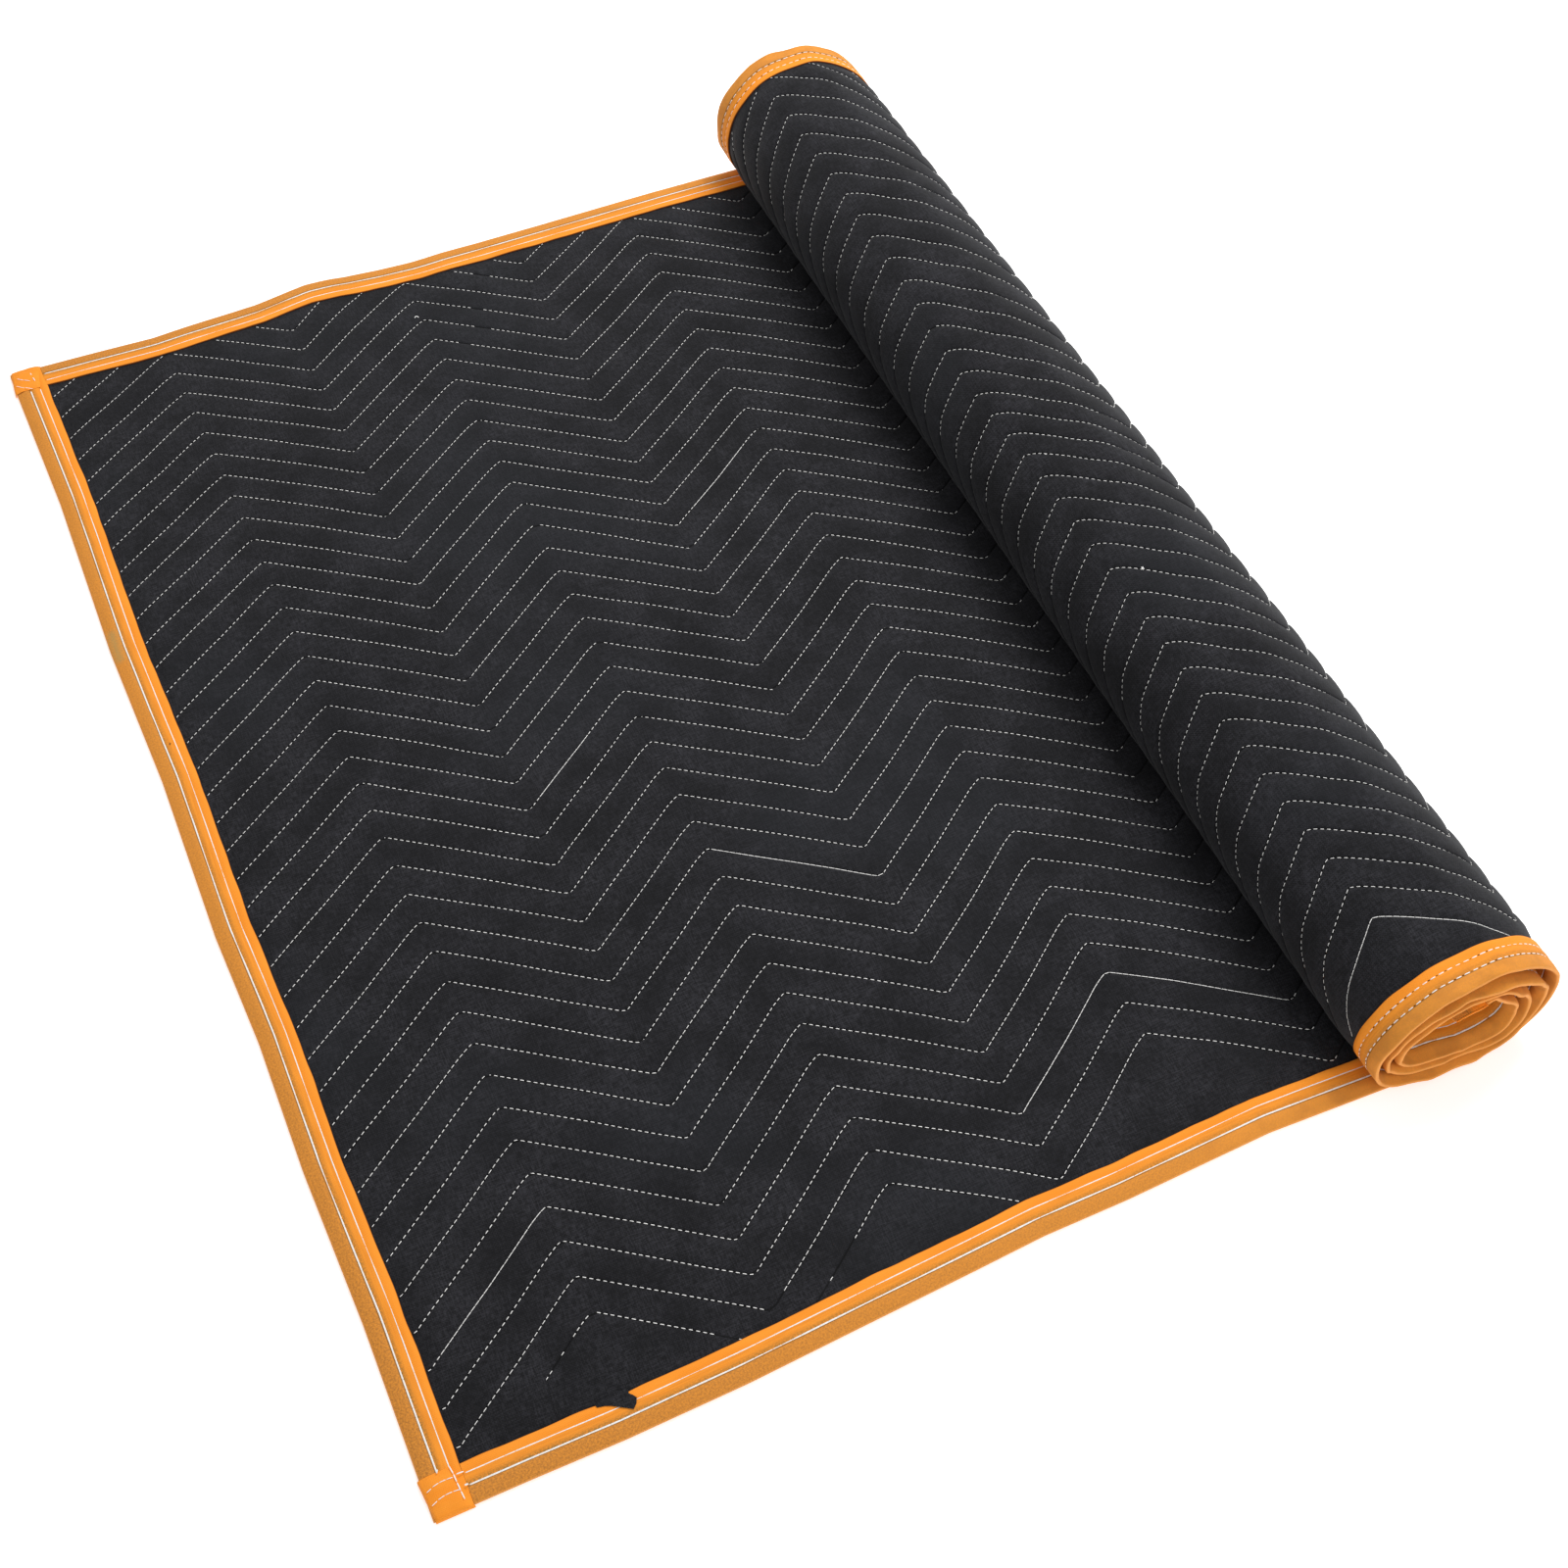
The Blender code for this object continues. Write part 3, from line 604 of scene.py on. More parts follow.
def weave_of(tree, x, y, pitch):
    """Plain weave, from -1 where a thread of one way is up to 1 where the other is."""
    across = calc(tree, "SINE", times(tree, x, math.pi / pitch))
    along = calc(tree, "SINE", times(tree, y, math.pi / pitch))
    return times(tree, across, along)


def vector(tree, operation, inputs, output=0):
    return node(tree, "ShaderNodeVectorMath", inputs, operation=operation).outputs[output]


def segment_distance(tree, uv, start, end):
    """Distance on the flat map to a straight crease."""
    start, end = np.array(start), np.array(end)
    span = end - start
    away = vector(tree, "SUBTRACT", {0: uv, 1: (*start, 0)})
    share = vector(tree, "DOT_PRODUCT", {0: away, 1: (*(span / (span @ span)), 0)}, "Value")
    share = node(tree, "ShaderNodeClamp", {0: share}).outputs[0]
    along = vector(tree, "SCALE", {0: (*span, 0), "Scale": share})
    return vector(tree, "LENGTH", {0: vector(tree, "SUBTRACT", {0: away, 1: along})}, "Value")


def black_cloth():
    """Charcoal woven polyester: threads, lighter slubs, bluish mottling, creases and puckered stitch lines,
    with painted shade darkening the stitched grooves and the creases.
    """
    material, tree, shader = new_material("charcoal_weave", 0.85)
    uv, s, v = flat_map(tree)
    weave = weave_of(tree, s, v, 1.0 * MM)
    threads = plus(tree, grain(tree, stretched(tree, s, v, 160, 1000), 1.0),
                   grain(tree, stretched(tree, s, v, 1000, 160), 1.0))
    mottle = grain(tree, uv, 26, 4)
    wide = grain(tree, uv, 4.5, 2)
    slubs = times(tree, spread(tree, threads, 0.80, 1.40), spread(tree, mottle, 0.38, 0.62, 0.45, 1.0))
    factor = plus(tree, times(tree, weave, 0.20), times(tree, slubs, 1.05))
    factor = plus(tree, factor, spread(tree, mottle, 0.3, 0.7, -0.05, 0.08))
    factor = plus(tree, factor, spread(tree, wide, 0.35, 0.65, -0.04, 0.08))
    cloth = tint(tree, factor, (0.0044, 0.0044, 0.0055), (0.0310, 0.0306, 0.0365))
    cloth = tint(tree, spread(tree, wide, 0.5, 0.62, 0.0, 0.35), cloth, (0.0118, 0.0133, 0.0165))
    line = node(tree, "ShaderNodeAttribute", {}, attribute_name="line_number").outputs["Fac"]
    away = calc(tree, "PINGPONG", line, 0.5)
    # Painted shade along the stitched grooves of the quilting
    groove_shade = spread(tree, away, 0.012, 0.042, 0.85, 0.0)
    cloth = tint(tree, groove_shade, cloth, (0.0016, 0.0016, 0.0020))
    crease = segment_distance(tree, uv, *CREASES[0])
    for ends in CREASES[1:]:
        crease = calc(tree, "MINIMUM", crease, segment_distance(tree, uv, *ends))
    crease = spread(tree, crease, 0.2 * MM, 0.9 * MM, 1.0, 0.0)
    # Painted shade in the creases darkens the cloth along them
    cloth = tint(tree, times(tree, crease, 0.6), cloth, (0.004, 0.004, 0.005))
    puckers = times(tree, grain(tree, uv, 330, 2), spread(tree, away, 0.0, 0.16, 1.0, 0.0))
    height = plus(tree, times(tree, weave, 0.22), times(tree, puckers, 1.2))
    height = plus(tree, height, times(tree, grain(tree, uv, 90, 3), 0.6))
    height = calc(tree, "SUBTRACT", height, crease)
    fill(tree, shader, {
        "Base Color": cloth, "Roughness": spread(tree, weave, -1, 1, 0.78, 0.95),
        "Specular IOR Level": 0.2, "Sheen Weight": 0.06, "Sheen Roughness": 0.5,
        "Normal": bump(tree, height, 0.5, 0.45 * MM),
    })
    return material


def worn_and_shaded_colour(tree, uv, along, inset, fine, patches, bright):
    """The binding's colour: dull and fuzzy in its outer strip, worn, darker on the roll with painted shade
    in its crumples, bright inside, with painted shade and a painted highlight along its seams, inner edge
    and fold.
    """
    wear = spread(tree, calc(tree, "MODULO", along, LEFT_MAP_START), 0.05, 0.45, 1.0, 0.6)
    rolled = times(tree, spread(tree, along, 0.5, 0.6), spread(tree, along, 9.0, 9.5, 1.0, 0.0))
    wear = calc(tree, "SUBTRACT", wear, times(tree, rolled, 0.35))
    worn = tint(tree, spread(tree, fine, 0.36, 0.62), OCHRE[0], OCHRE[1])
    ochre = tint(tree, spread(tree, patches, 0.35, 0.7, 0.0, 0.8), OCHRE[1], OCHRE[2])
    ochre = tint(tree, wear, ochre, worn)
    streaks = grain(tree, stretched(tree, along, inset, 45, 700), 1.0, 3)
    middle = tint(tree, spread(tree, streaks, 0.3, 0.7), MIDDLE_ORANGE[0], MIDDLE_ORANGE[1])
    past_outer = spread(tree, inset, OUTER_SEAM, OUTER_SEAM + 0.5 * MM)
    colour = tint(tree, past_outer, ochre, middle)
    # A greenish band of painted shade just inward of the outer seam, stronger where the tape is worn
    olive_seam_shade = spread(tree, inset, OUTER_SEAM + 0.8 * MM, OUTER_SEAM + 4.0 * MM, 1.0, 0.0)
    olive_seam_shade = times(tree, times(tree, olive_seam_shade, past_outer), spread(tree, fine, 0.38, 0.58, 0.20, 1.0))
    olive_seam_shade = times(tree, olive_seam_shade, calc(tree, "SQRT", wear))
    colour = tint(tree, olive_seam_shade, colour, (0.34, 0.17, 0.034))
    # Dark patches of painted shade where the tape is crumpled on the roll
    crumple_shade = spread(tree, grain(tree, uv, 75, 3), 0.46, 0.62, 0.0, 0.35)
    crumple_shade = times(tree, crumple_shade, times(tree, rolled, spread(tree, inset, 12 * MM, 17 * MM, 1.0, 0.0)))
    colour = tint(tree, crumple_shade, colour, (0.46, 0.17, 0.028))
    past_inner = spread(tree, inset, INNER_SEAM - 0.2 * MM, INNER_SEAM + 0.6 * MM)
    colour = tint(tree, past_inner, colour, bright)
    stain = plus(tree, segment_distance(tree, uv, *STAIN), times(tree, fine, 6 * MM))
    # Painted shade beside the outer seam, painted shadow along the inner edge where the tape meets the
    # cloth, a painted highlight along the fold, the speck and the stain
    for factor, over in (
        (spread(tree, calc(tree, "ABSOLUTE", calc(tree, "SUBTRACT", inset, OUTER_SEAM - 0.75 * MM)),
                0.15 * MM, 0.5 * MM, 0.75, 0.0), (0.17, 0.085, 0.02)),
        # Painted shadow along the inner edge, where the tape meets the black cloth
        (spread(tree, inset, BINDING_WIDTH - 0.5 * MM, BINDING_WIDTH - 0.1 * MM, 0.0, 0.9),
         (0.10, 0.012, 0.003)),
        # Painted highlight along the edge of the fold
        (spread(tree, inset, 0.3 * MM, 1.1 * MM, 0.6, 0.0), (0.95, 0.40, 0.10)),
        (spread(tree, segment_distance(tree, uv, *SPECK), 0.3 * MM, 0.9 * MM, 0.85, 0.0),
         (0.10, 0.035, 0.008)),
        (spread(tree, stain, 3 * MM, 9 * MM, 0.75, 0.0), (0.46, 0.29, 0.09)),
    ):
        colour = tint(tree, factor, colour, over)
    return colour


def orange_tape(name, plain):
    """Orange woven tape. Unless it is plain, it is worn and stained, with painted shade and a painted
    highlight.
    """
    material, tree, shader = new_material(name, 0.8)
    uv, along, inset = flat_map(tree)
    weave = weave_of(tree, along, inset, 0.7 * MM)
    fine = grain(tree, uv, 780, 4)
    patches = grain(tree, stretched(tree, along, inset, 22, 120), 1.0, 3)
    colour = tint(tree, spread(tree, patches, 0.3, 0.7), BRIGHT_ORANGE[0], BRIGHT_ORANGE[1])
    if not plain:
        colour = worn_and_shaded_colour(tree, uv, along, inset, fine, patches, colour)
    colour = tint(tree, spread(tree, weave, -1, 1, 0.07, 0.0), colour, (0.42, 0.10, 0.004))
    height = plus(tree, times(tree, weave, 0.25), times(tree, patches, 1.1))
    fill(tree, shader, {"Base Color": colour, "Roughness": spread(tree, fine, 0.3, 0.7, 0.72, 0.9),
                        "Normal": bump(tree, height, 0.45, 0.35 * MM)})
    return material


def needle_hole():
    """Dark brown painted shade in the holes between the stitches of a seam."""
    material, tree, shader = new_material("needle_hole", 0.9)
    tone = spread(tree, grain(tree, flat_map(tree)[0], 300, 2), 0.3, 0.7)
    fill(tree, shader, {"Base Color": tint(tree, tone, (0.05, 0.018, 0.006), (0.12, 0.045, 0.012))})
    return material


def white_thread():
    """Off-white thread with twisted plies, a little greyed in places."""
    material, tree, shader = new_material("white_thread", 0.6)
    uv, along, around = flat_map(tree)
    twist = calc(tree, "SINE", plus(tree, times(tree, along, 2 * math.pi / (0.9 * MM)), around))
    grey = grain(tree, uv, 120, 2)
    colour = tint(tree, spread(tree, grey, 0.35, 0.7), (1.0, 0.99, 0.96), (0.84, 0.83, 0.81))
    colour = tint(tree, spread(tree, twist, -1, 1, 0.18, 0.0), colour, (0.50, 0.49, 0.47))
    fill(tree, shader, {"Base Color": colour, "Roughness": spread(tree, grey, 0.3, 0.7, 0.5, 0.7),
                        "Normal": bump(tree, twist, 0.5, 0.1 * MM)})
    return material


def pad_columns():
    """Places along the pad of the cross rows of points; peaks and valleys lie on them."""
    flat_legs = np.arange(1, int(6.75 * FLAT_COLUMNS_PER_LEG) + 1) / FLAT_COLUMNS_PER_LEG
    flat = FIRST_VALLEY_S + LEG_LENGTH * flat_legs
    roll = np.arange(flat[-1] + 3 * MM, LENGTH - 36 * MM, LEG_LENGTH / ROLL_COLUMNS_PER_LEG)
    ends = [26.5 * MM, 20 * MM, 12 * MM, 6 * MM, PANEL_EDGE]
    return [*ends[::-1], *flat, *roll, *(LENGTH - np.array([32 * MM, *ends]))]


def pad_rows(s, quilted):
    """Points across one face at a column: {row name: v}. Rows past the rim share its v."""
    border = [PANEL_EDGE, 10 * MM, 18 * MM, 26.0 * MM]
    rows = {-1000 + i: v for i, v in enumerate(border)}
    if quilted:
        lines = np.add.outer(np.arange(-5, LAST_LINE + 3), ROW_STEPS).ravel()
        inner = border[-1] + 0.4 * MM
        rows.update(enumerate(np.clip(line_v(lines, s), inner, WIDTH - inner).tolist()))
    else:
        rows.update(enumerate(PLAIN_ROWS))
    rows.update({1000 + i: WIDTH - v for i, v in enumerate(border[::-1])})
    return rows


def pad_face(builder, columns, quilt, flipped):
    """One face of the pad. Returns the points of each column by row name."""
    found = []
    for s in columns:
        quilted = quilt[0] <= s <= quilt[1]
        rows, seen, column = pad_rows(s, quilted), {}, {}
        for row, v in rows.items():
            if v not in seen:
                seen[v] = len(builder.points)
                builder.points.append((s, v, 0.0))
            column[row] = seen[v]
        found.append((quilted, column))
    for (quilted, left), (also, right) in zip(found, found[1:]):
        if quilted == also:
            keys = list(left)
            for low, high in zip(keys, keys[1:]):
                builder.face([left[low], right[low], right[high], left[high]], flipped)
            continue
        left, right = list(dict.fromkeys(left.values())), list(dict.fromkeys(right.values()))
        i = j = 0
        while i < len(left) - 1 or j < len(right) - 1:
            left_v = builder.points[left[i + 1]][1] if i < len(left) - 1 else math.inf
            right_v = builder.points[right[j + 1]][1] if j < len(right) - 1 else math.inf
            if left_v <= right_v:
                builder.face([left[i], right[j], left[i + 1]], flipped)
                i += 1
            else:
                builder.face([left[i], right[j], right[j + 1]], flipped)
                j += 1
    return [column for quilted, column in found]


def make_pad(material):
    builder = Builder()
    columns = pad_columns()
    tops = pad_face(builder, columns, TOP_QUILT, False)
    first_under = len(builder.points)
    unders = pad_face(builder, columns, UNDER_QUILT, True)
    # The thin sides
    for corners in zip(unders, unders[1:], tops[1:], tops):
        for edge, flipped in ((min, False), (max, True)):
            builder.face([column[edge(column)] for column in corners], flipped)
    for top, under, flipped in ((tops[0], unders[0], True), (tops[-1], unders[-1], False)):
        keys = list(top)
        for low, high in zip(keys, keys[1:]):
            builder.face([under[low], under[high], top[high], top[low]], flipped)
    first_tuft = len(builder.points)
    builder.points += [(s, v, height) for height in (TUFT_LOW, TUFT_HIGH) for s, v in TUFT]
    count = len(TUFT)
    low = [first_tuft + i for i in range(count)]
    builder.face(low[::-1], True)
    builder.face([i + count for i in low[::-1]], False)
    for i, j in zip(low, low[1:] + low[:1]):
        builder.face([i, j, j + count, i + count], True)
    s, v, h = np.array(builder.points).T
    for part, top in ((slice(0, first_under), True), (slice(first_under, first_tuft), False)):
        h[part] = surface(s[part], v[part], top)
    at_edge = np.minimum(v, WIDTH - v) < STRIP_CRUMPLE_WIDTH + MM
    raised, drawn_in = crumple(s[at_edge], v[at_edge])
    lines = quilted_line(s, v)
    h[at_edge] += raised
    v[at_edge] += np.where(v[at_edge] < WIDTH / 2, drawn_in, -drawn_in)
    piece = make_piece("pad_cloth", place(s, v, h), builder.faces, material,
                       np.stack([s, v], axis=-1), lines)
    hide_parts("pad")


def tape_profile():
    """Section of a folded strip with its two seams pulled in: (inset, height), round and back."""
    outside = []
    fold = FOLD_TOP / 2
    for inset in TAPE_OUTSIDES:
        inset *= MM
        seam = sum(math.exp(-((inset - at) / (0.9 * MM)) ** 2) for at in (OUTER_SEAM, INNER_SEAM))
        dent = SEAM_DENT * seam - 0.22 * MM * min(1.0, inset / (3 * MM))
        if inset > 25.3 * MM:
            dent = 0.25 * MM
        rounding = fold - math.sqrt(max(fold**2 - max(fold - inset, 0) ** 2, 0))
        outside.append((inset, rounding, dent))
    low = [(inset, rounding + dent) for inset, rounding, dent in outside]
    high = [(inset, float(tape_top(inset)) - rounding - dent) for inset, rounding, dent in outside[-2::-1]]
    inside_high = [(inset * MM, float(tape_top(inset * MM)) - BINDING_CLOTH) for inset in TAPE_INSIDES]
    inside_low = [(inset * MM, BINDING_CLOTH) for inset in TAPE_INSIDES[::-1]]
    return low + high + inside_high + inside_low


def make_tape(name, material, profile, stations, to_pad, flipped, pinched=False, map_start=0.0):
    """A folded strip: its profile carried along stations, with small puffs and wavy edges. A pinched
    strip is thin at both ends, where the corner tabs fold over it."""
    along, insets = np.meshgrid(stations, [point[0] for point in profile], indexing="ij")
    heights = np.array([point[1] for point in profile])
    count = len(profile)
    outer = np.arange(count) < count - 2 * len(TAPE_INSIDES)
    puff = TAPE_PUFF * bumps(along, insets * 4, 42, 1.7) * np.where(heights > FOLD_TOP / 2, 1.0, -1.0)
    h = heights + np.where(outer, puff * np.minimum(insets / (3 * MM), 1), 0.0)
    inset = insets + TAPE_WAVE * bumps(along, 0, 45, 5.2) * (insets > 24 * MM)
    if pinched:
        h = h * tape_top(np.minimum(along, WIDTH - along)) / BINDING_TOP
    else:
        raised, drawn_in = crumple(*to_pad(along, insets))
        h, inset = h + raised, inset + drawn_in
    s, v = to_pad(along, inset)
    faces = []
    for start in range(0, (len(stations) - 1) * count, count):
        for j in range(count):
            k = (j + 1) % count
            faces.append([start + j, start + k, start + count + k, start + count + j])
    faces += [list(range(count))[::-1], list(range((len(stations) - 1) * count, len(stations) * count))]
    if flipped:
        faces = [face[::-1] for face in faces]
    uvs = np.stack([along + map_start, insets], axis=-1).reshape(-1, 2)
    piece = make_piece(name + "_tape", place(s, v, h).reshape(-1, 3), faces, material, uvs)
    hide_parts(name)


def make_tapes(material):
    profile = tape_profile()
    start, end = BINDING_WIDTH - 0.2 * MM, LENGTH - BINDING_WIDTH + 0.2 * MM
    along = np.linspace(start, end, 520)
    across = np.linspace(0, WIDTH, 190)
    make_tape("binding_near", material, profile, along, lambda a, i: (a, i), True)
    make_tape("binding_far", material, profile, along, lambda a, i: (a, WIDTH - i), False)
    make_tape("binding_left", material, profile, across, lambda a, i: (i, a), False,
              True, LEFT_MAP_START)
    make_tape("binding_inner", material, profile, across, lambda a, i: (LENGTH - i, a), True, True)


def make_tab(name, material, s_edge, s_inward, v_edge, v_inward, seed):
    """The square of tape folded over a corner, puffed up and rounded over the two edges."""
    wrap = BINDING_CLOTH + CLOTH_GAP
    steps = np.array(TAB_STEPS) * MM
    a, b = (grid.ravel() for grid in np.meshgrid(steps, steps, indexing="ij"))
    count = len(steps)
    under = tape_top(a) * tape_top(b) / BINDING_TOP + CLOTH_GAP

    def fall(distance):
        return np.sqrt(np.clip(1 - np.clip(1 - distance / TAB_ROUNDING, 0, 1) ** 2, 0, 1))

    end = smooth_step((np.maximum(a, b) - 22 * MM) / (3.2 * MM))
    h = CLOTH_GAP + (under + BINDING_CLOTH - CLOTH_GAP) * fall(a) * fall(b)
    h = h + (TAB_PUFF * (1 - end) + 0.3 * MM * bumps(a, b, 120, seed)) * fall(a) * fall(b)
    h = h - 1.05 * MM * end
    slant = TAB_SLANT * (a / TAB_SIZE) * (b / TAB_SIZE)
    lean = TAB_LEAN * (1 - b / TAB_SIZE) * (1 - a / TAB_SIZE)
    outer = [a * TAB_STRETCH - wrap - slant + lean, b * TAB_STRETCH - wrap, h]
    rim = (a == 0) | (b == 0)
    low_side = np.where(rim, CLOTH_GAP, under)
    inner = [np.maximum(outer[0], -CLOTH_GAP), np.maximum(outer[1], -CLOTH_GAP),
             np.minimum(low_side, h - 0.15 * MM * (~rim))]
    s = s_edge + s_inward * np.concatenate([outer[0], inner[0]])
    v = v_edge + v_inward * np.concatenate([outer[1], inner[1]])
    h = np.concatenate([outer[2], inner[2]])
    total = count * count
    faces = []
    for i in range(count - 1):
        for j in range(count - 1):
            quad = [i * count + j, (i + 1) * count + j, (i + 1) * count + j + 1, i * count + j + 1]
            faces.append(quad)
            faces.append([index + total for index in quad[::-1]])
    rim_loop = [*range(0, total, count), *range(total - count + 1, total),
                *range(total - count - 1, 0, -count), *range(count - 2, 0, -1)]
    for first, second in zip(rim_loop, rim_loop[1:] + rim_loop[:1]):
        faces.append([first, first + total, second + total, second])
    if s_inward * v_inward < 0:
        faces = [face[::-1] for face in faces]
    uvs = np.stack([np.concatenate([a, a]) + seed, np.concatenate([b, b])], axis=-1)
    piece = make_piece(name + "_patch", place(s, v, h), faces, material, uvs)
    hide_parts(name)


def make_thread(name, material, stitches):
    """Short stitches, each a small spindle. Their side is 1 on top faces and -1 on undersides."""
    starts, ends, heights, side = (np.array([getattr(stitch, key) for stitch in stitches], float)
                                   for key in ("start", "end", "height", "side"))
    half_width, stand = (np.array([getattr(stitch.thread, key) for stitch in stitches])
                         for key in ("half_width", "stand"))
    direction = ends - starts
    across = np.stack([-direction[:, 1], direction[:, 0]], axis=-1)
    across /= np.linalg.norm(across, axis=1)[:, None]
    points, uvs = [], []
    for part, angles in ((0.0, (None,)), (0.16, RING), (0.84, RING), (1.0, (None,))):
        middle = starts + direction * part
        for angle in angles:
            flat, h = middle, heights - side * 0.25 * MM
            if angle is not None:
                flat = middle + across * (half_width * math.cos(angle))[:, None]
                h = heights + side * (stand * (0.45 + 0.55 * math.sin(angle)))
            points.append(place(flat[:, 0], flat[:, 1], h))
            uvs.append(np.column_stack([middle[:, 0] + middle[:, 1], 0 * side + (angle or 0)]))
    pattern = [(0, 1 + (i + 1) % 4, 1 + i) for i in range(4)]
    pattern += [(1 + i, 1 + (i + 1) % 4, 5 + (i + 1) % 4, 5 + i) for i in range(4)]
    pattern += [(9, 5 + i, 5 + (i + 1) % 4) for i in range(4)]
    faces = []
    for i, stitch in enumerate(stitches):
        for face in pattern:
            indices = [i * len(points) + index for index in face]
            faces.append(indices[::-1] if stitch.side < 0 else indices)
    make_piece(name, np.stack(points, axis=1).reshape(-1, 3), faces, material,
               np.stack(uvs, axis=1).reshape(-1, 2))


def stitches_along(path, thread_at, keep, jitter):
    """Starts, ends and threads of the stitches along a path of (s, v) points."""
    lengths = np.concatenate([[0], np.cumsum(np.hypot(*np.diff(path, axis=0).T))])

    def point_at(value):
        return [np.interp(value, lengths, column) for column in path.T]

    found = []
    at = 0.0
    while at < lengths[-1] - MM:
        middle = point_at(at)
        thread = thread_at(middle[0])
        pitch = thread.pitch * (1 + PITCH_SPREAD * (jitter.random() - 0.5))
        shown = thread.shown * (1 + SHOWN_SPREAD * (jitter.random() - 0.5))
        if keep(*middle):
            found.append((point_at(at + pitch * (1 - shown) / 2), point_at(at + pitch * (1 + shown) / 2),
                          thread))
        at += pitch
    return found


def quilt_stitches(top, span, seed):
    """Stitches of the zigzag lines on one face, between two places along the pad."""
    jitter = np.random.default_rng(seed)
    border = BINDING_WIDTH + 0.5 * MM
    marks = FIRST_VALLEY_S + LEG_LENGTH * np.arange(0, 12)
    marks = marks[(marks > span[0]) & (marks < span[1])]
    s = np.unique(np.concatenate([np.arange(span[0], span[1], 1.0 * MM), marks]))
    found = []
    for line in range(LAST_LINE + 1):
        def thread_at(s):
            leg = (s - FIRST_VALLEY_S) / LEG_LENGTH
            if any(line == row and low <= leg <= high for row, low, high in SOLID_STRETCHES):
                return SOLID_THREAD
            if not top:
                return ROLL_THREAD
            soft = leg % 2 < 0.95 and SOFT_RISES[line % len(SOFT_RISES)]
            return RISING_THREAD if soft else QUILT_THREAD

        def keep(s, v):
            missing = any(line == row and low < s < high for row, low, high in MISSING)
            even = s - FIRST_VALLEY_S
            leg = (even - sway(line, even / LEG_LENGTH, ALONG)) / LEG_LENGTH
            last = LAST_FLAT_LEG if top else look_up(LAST_ROLL_LEG, line)
            return border < v < WIDTH - border and not missing and leg < last

        wander = QUILT_WANDER * bumps(s, line * 0.37, 14, 2.4)
        found += stitches_along(np.column_stack([s, line_v(line, s) + wander]), thread_at, keep, jitter)
    found += [(*knot, TACK_THREAD) for knot in (KNOTS if top else ROLL_KNOTS)]
    heights = surface(*np.mean([row[:2] for row in found], axis=1).T, top)
    return [Stitch(*row, height, 1 if top else -1) for row, height in zip(found, heights)]


def seam_stitches(seed):
    """Stitches of the two seams on both faces of every binding."""
    jitter = np.random.default_rng(seed)
    along = np.arange(BINDING_WIDTH + 0.5 * MM, LENGTH - BINDING_WIDTH, 4 * MM)
    across = np.arange(24.5 * MM, WIDTH - 24.5 * MM, 4 * MM)
    low = SEAM_DENT - 0.22 * MM
    stitches = []
    for inset, top_thread in ((OUTER_SEAM, OUTER_SEAM_THREAD), (INNER_SEAM, INNER_SEAM_THREAD)):
        for is_long, s, v in (
            (True, along, inset + SEAM_WANDER * bumps(along, inset, 12, 8.1)),
            (True, along, WIDTH - inset + SEAM_WANDER * bumps(along, inset, 12, 9.1)),
            (False, inset + SEAM_WANDER * bumps(across, inset, 12, 4.1), across),
            (False, LENGTH - inset + 0 * across, across),
        ):
            for side, height, thread in ((1, BINDING_TOP - low, top_thread), (-1, low, ROLL_SEAM_THREAD)):
                found = stitches_along(np.column_stack([s, v]), lambda s: thread, lambda s, v: True, jitter)
                starts = np.array([row[0] for row in found])
                raised = crumple(*starts.T)[0] if is_long else 0 * starts[:, 0]
                stitches += [Stitch(*row, height + lift, side) for row, lift in zip(found, raised)]
    return stitches


def tab_stitches():
    """Tacks and ends of the seams on the two corner tabs that show."""
    found = [(*ends, thread) for path, thread in TAB_SEAMS for ends in zip(path, path[1:])]
    s, v = np.mean([row[:2] for row in found], axis=1).T
    under = tape_top(s + MM) * tape_top(np.minimum(v, WIDTH - v) + MM) / BINDING_TOP
    heights = under + CLOTH_GAP + BINDING_CLOTH + TAB_PUFF + TAB_LIFT
    return [Stitch(*row, height, 1) for row, height in zip(found, heights)]


def holes_between(stitches):
    """The short gaps between one stitch and the next on the roll's outer face."""
    return [Stitch(first.end, second.start, HOLE_ROW, first.height, -1)
            for first, second in zip(stitches, stitches[1:])
            if first.side == second.side == -1
            and math.dist(first.end, second.start) < ROLL_SEAM_THREAD.pitch / 2]


def make_stitching(thread, hole):
    seams = seam_stitches(13)
    for name, material, stitches in (
        ("quilt_thread_flat", thread, quilt_stitches(True, (26 * MM, TOP_QUILT[1]), 11)),
        ("quilt_thread_roll", thread, quilt_stitches(False, UNDER_QUILT, 12)),
        ("seam_thread", thread, seams),
        ("needle_holes", hole, holes_between(seams)),
        ("tab_thread", thread, tab_stitches()),
    ):
        make_thread(name, material, stitches)


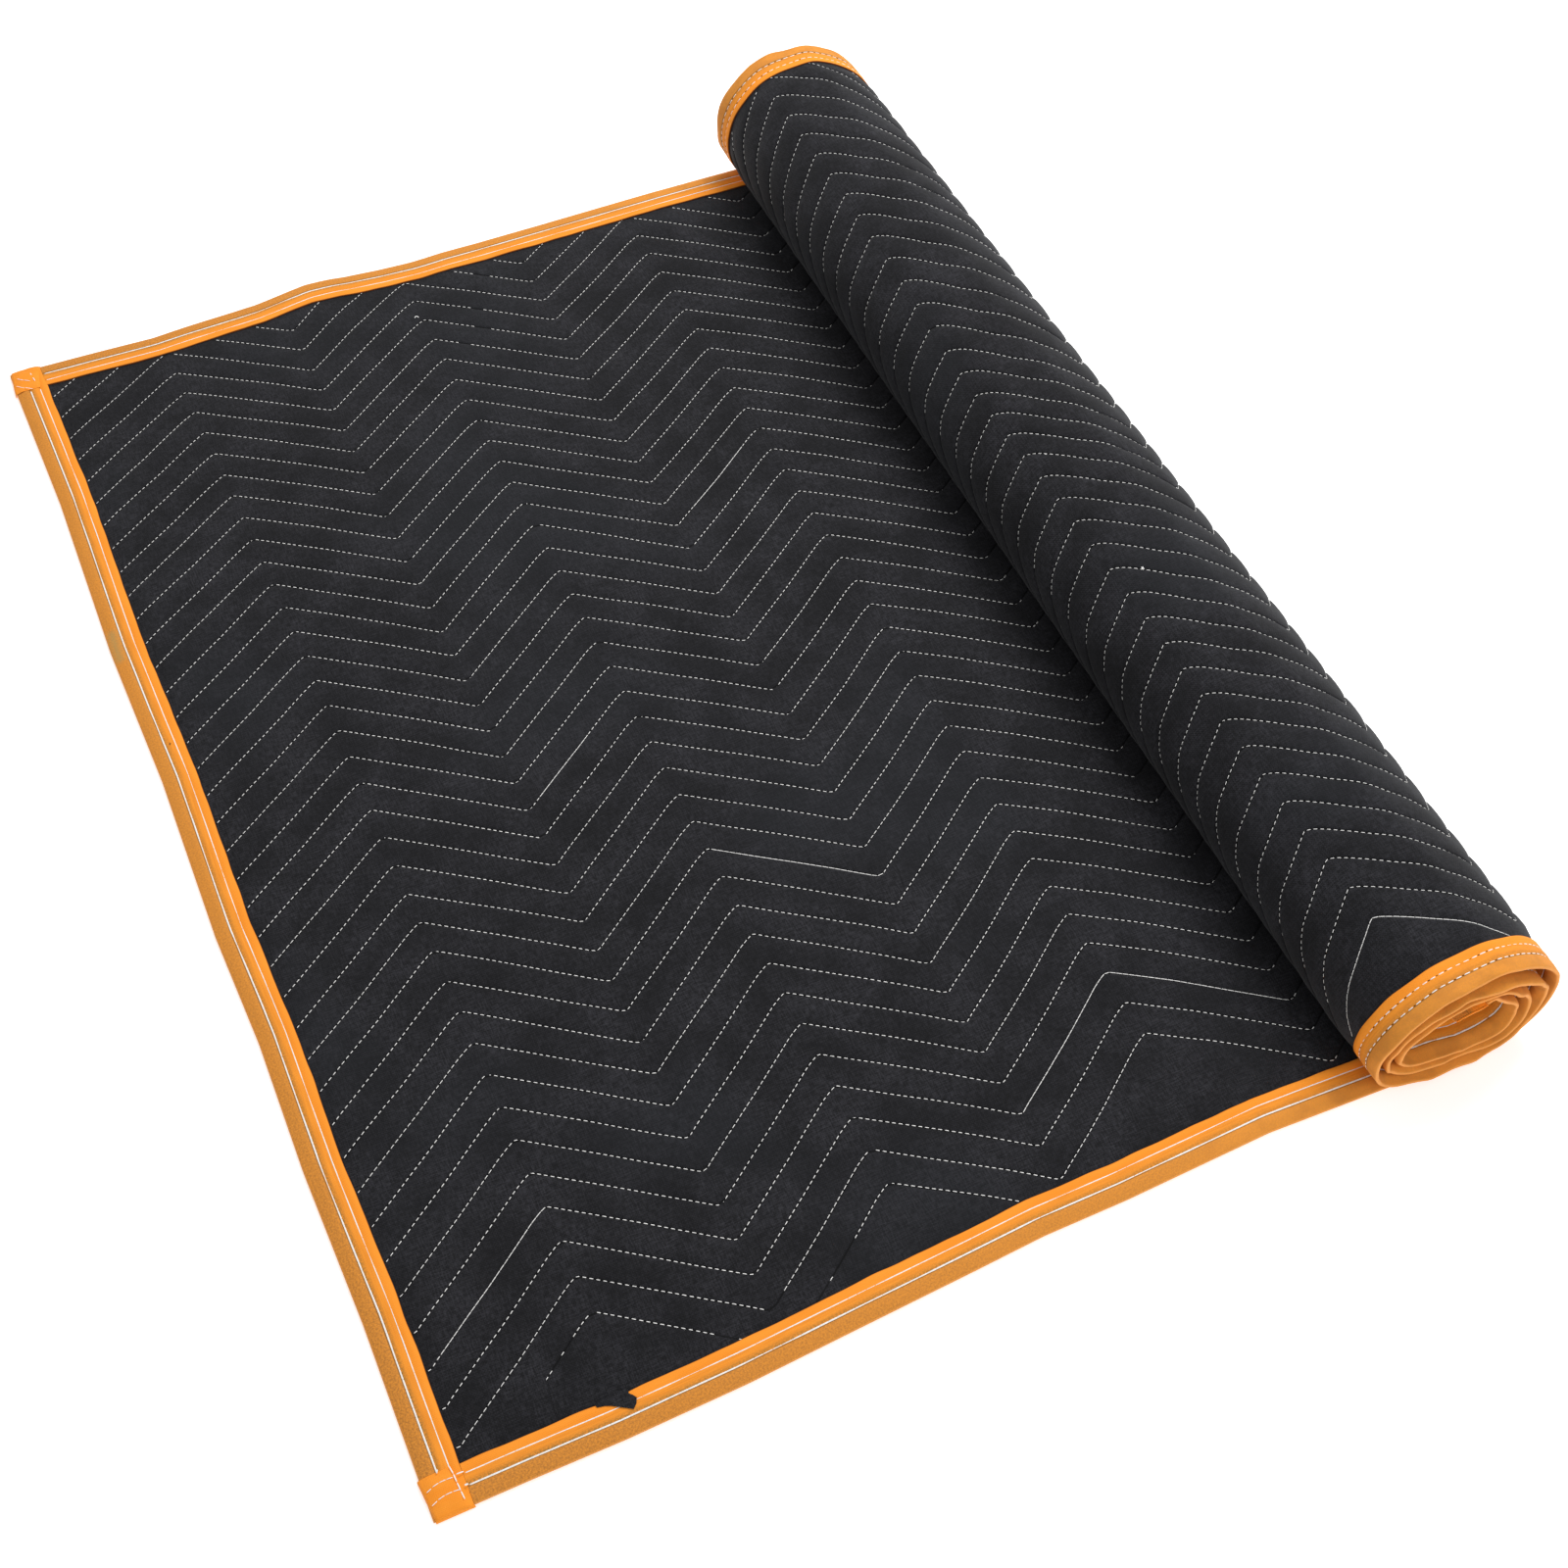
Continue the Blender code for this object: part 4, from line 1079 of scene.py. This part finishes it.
def make_stage():
    """Pale floor, soft lights and the photo's camera."""
    mesh = bpy.data.meshes.new("floor")
    corners = [(-FLOOR_REACH, -FLOOR_REACH), (FLOOR_REACH, -FLOOR_REACH), (FLOOR_REACH, FLOOR_REACH),
               (-FLOOR_REACH, FLOOR_REACH)]
    mesh.from_pydata([(*corner, -MM) for corner in corners], [], [(0, 1, 2, 3)])
    floor = add_object("floor", mesh)
    material, tree, shader = new_material("floor_paint", 0.9)
    place_of = node(tree, "ShaderNodeTexCoord", {}).outputs["Object"]
    tone = spread(tree, grain(tree, place_of, 6, 3), 0.3, 0.7)
    paint = tint(tree, tone, (0.955, 0.955, 0.955), (0.975, 0.975, 0.975))
    fill(tree, shader, {"Base Color": paint, "Emission Color": (1, 1, 1, 1),
                        "Emission Strength": FLOOR_GLOW})
    mesh.materials.append(material)

    world = bpy.data.worlds.new("soft_light")
    bpy.context.scene.world = world
    world.use_nodes = True
    fill(world.node_tree, world.node_tree.nodes["Background"], {0: (1, 1, 1, 1), 1: WORLD_LIGHT})

    for row in LIGHTS:
        light = bpy.data.lights.new(row.name, "AREA")
        light.shape = "DISK"
        light.size = row.size
        light.energy = row.power
        lamp = add_object(row.name, light)
        lamp.location = row.at
        away = np.array(row.at) - np.array(row.target)
        lamp.rotation_euler = (math.acos(away[2] / np.linalg.norm(away)), 0,
                               math.atan2(away[1], away[0]) + math.pi / 2)

    data = bpy.data.cameras.new("camera")
    data.sensor_width = SENSOR_MM
    data.lens = SENSOR_MM * FOCAL_PX / PHOTO_WIDTH_PX
    data.clip_start = 0.01
    camera = add_object("camera", data)
    turned = Matrix([CAMERA_RIGHT, CAMERA_UP, CAMERA_BACK]).transposed()
    camera.matrix_world = (Matrix.Translation((np.array(CAMERA_AT) + SHIFT).tolist())
                           @ turned.to_4x4().normalized())
    bpy.context.scene.camera = camera
    bpy.context.scene.view_settings.view_transform = "Standard"


def main():
    make_stage()
    make_pad(black_cloth())
    make_tapes(orange_tape("orange_tape", False))
    tab_tape = orange_tape("bright_orange_tape", True)
    make_tab("tab_near_left", tab_tape, 0.0, 1, 0.0, 1, 0.31)
    make_tab("tab_far_left", tab_tape, 0.0, 1, WIDTH, -1, 0.62)
    make_tab("tab_near_inner", tab_tape, LENGTH, -1, 0.0, 1, 1.13)
    make_tab("tab_far_inner", tab_tape, LENGTH, -1, WIDTH, -1, 1.74)
    make_stitching(white_thread(), needle_hole())


main()
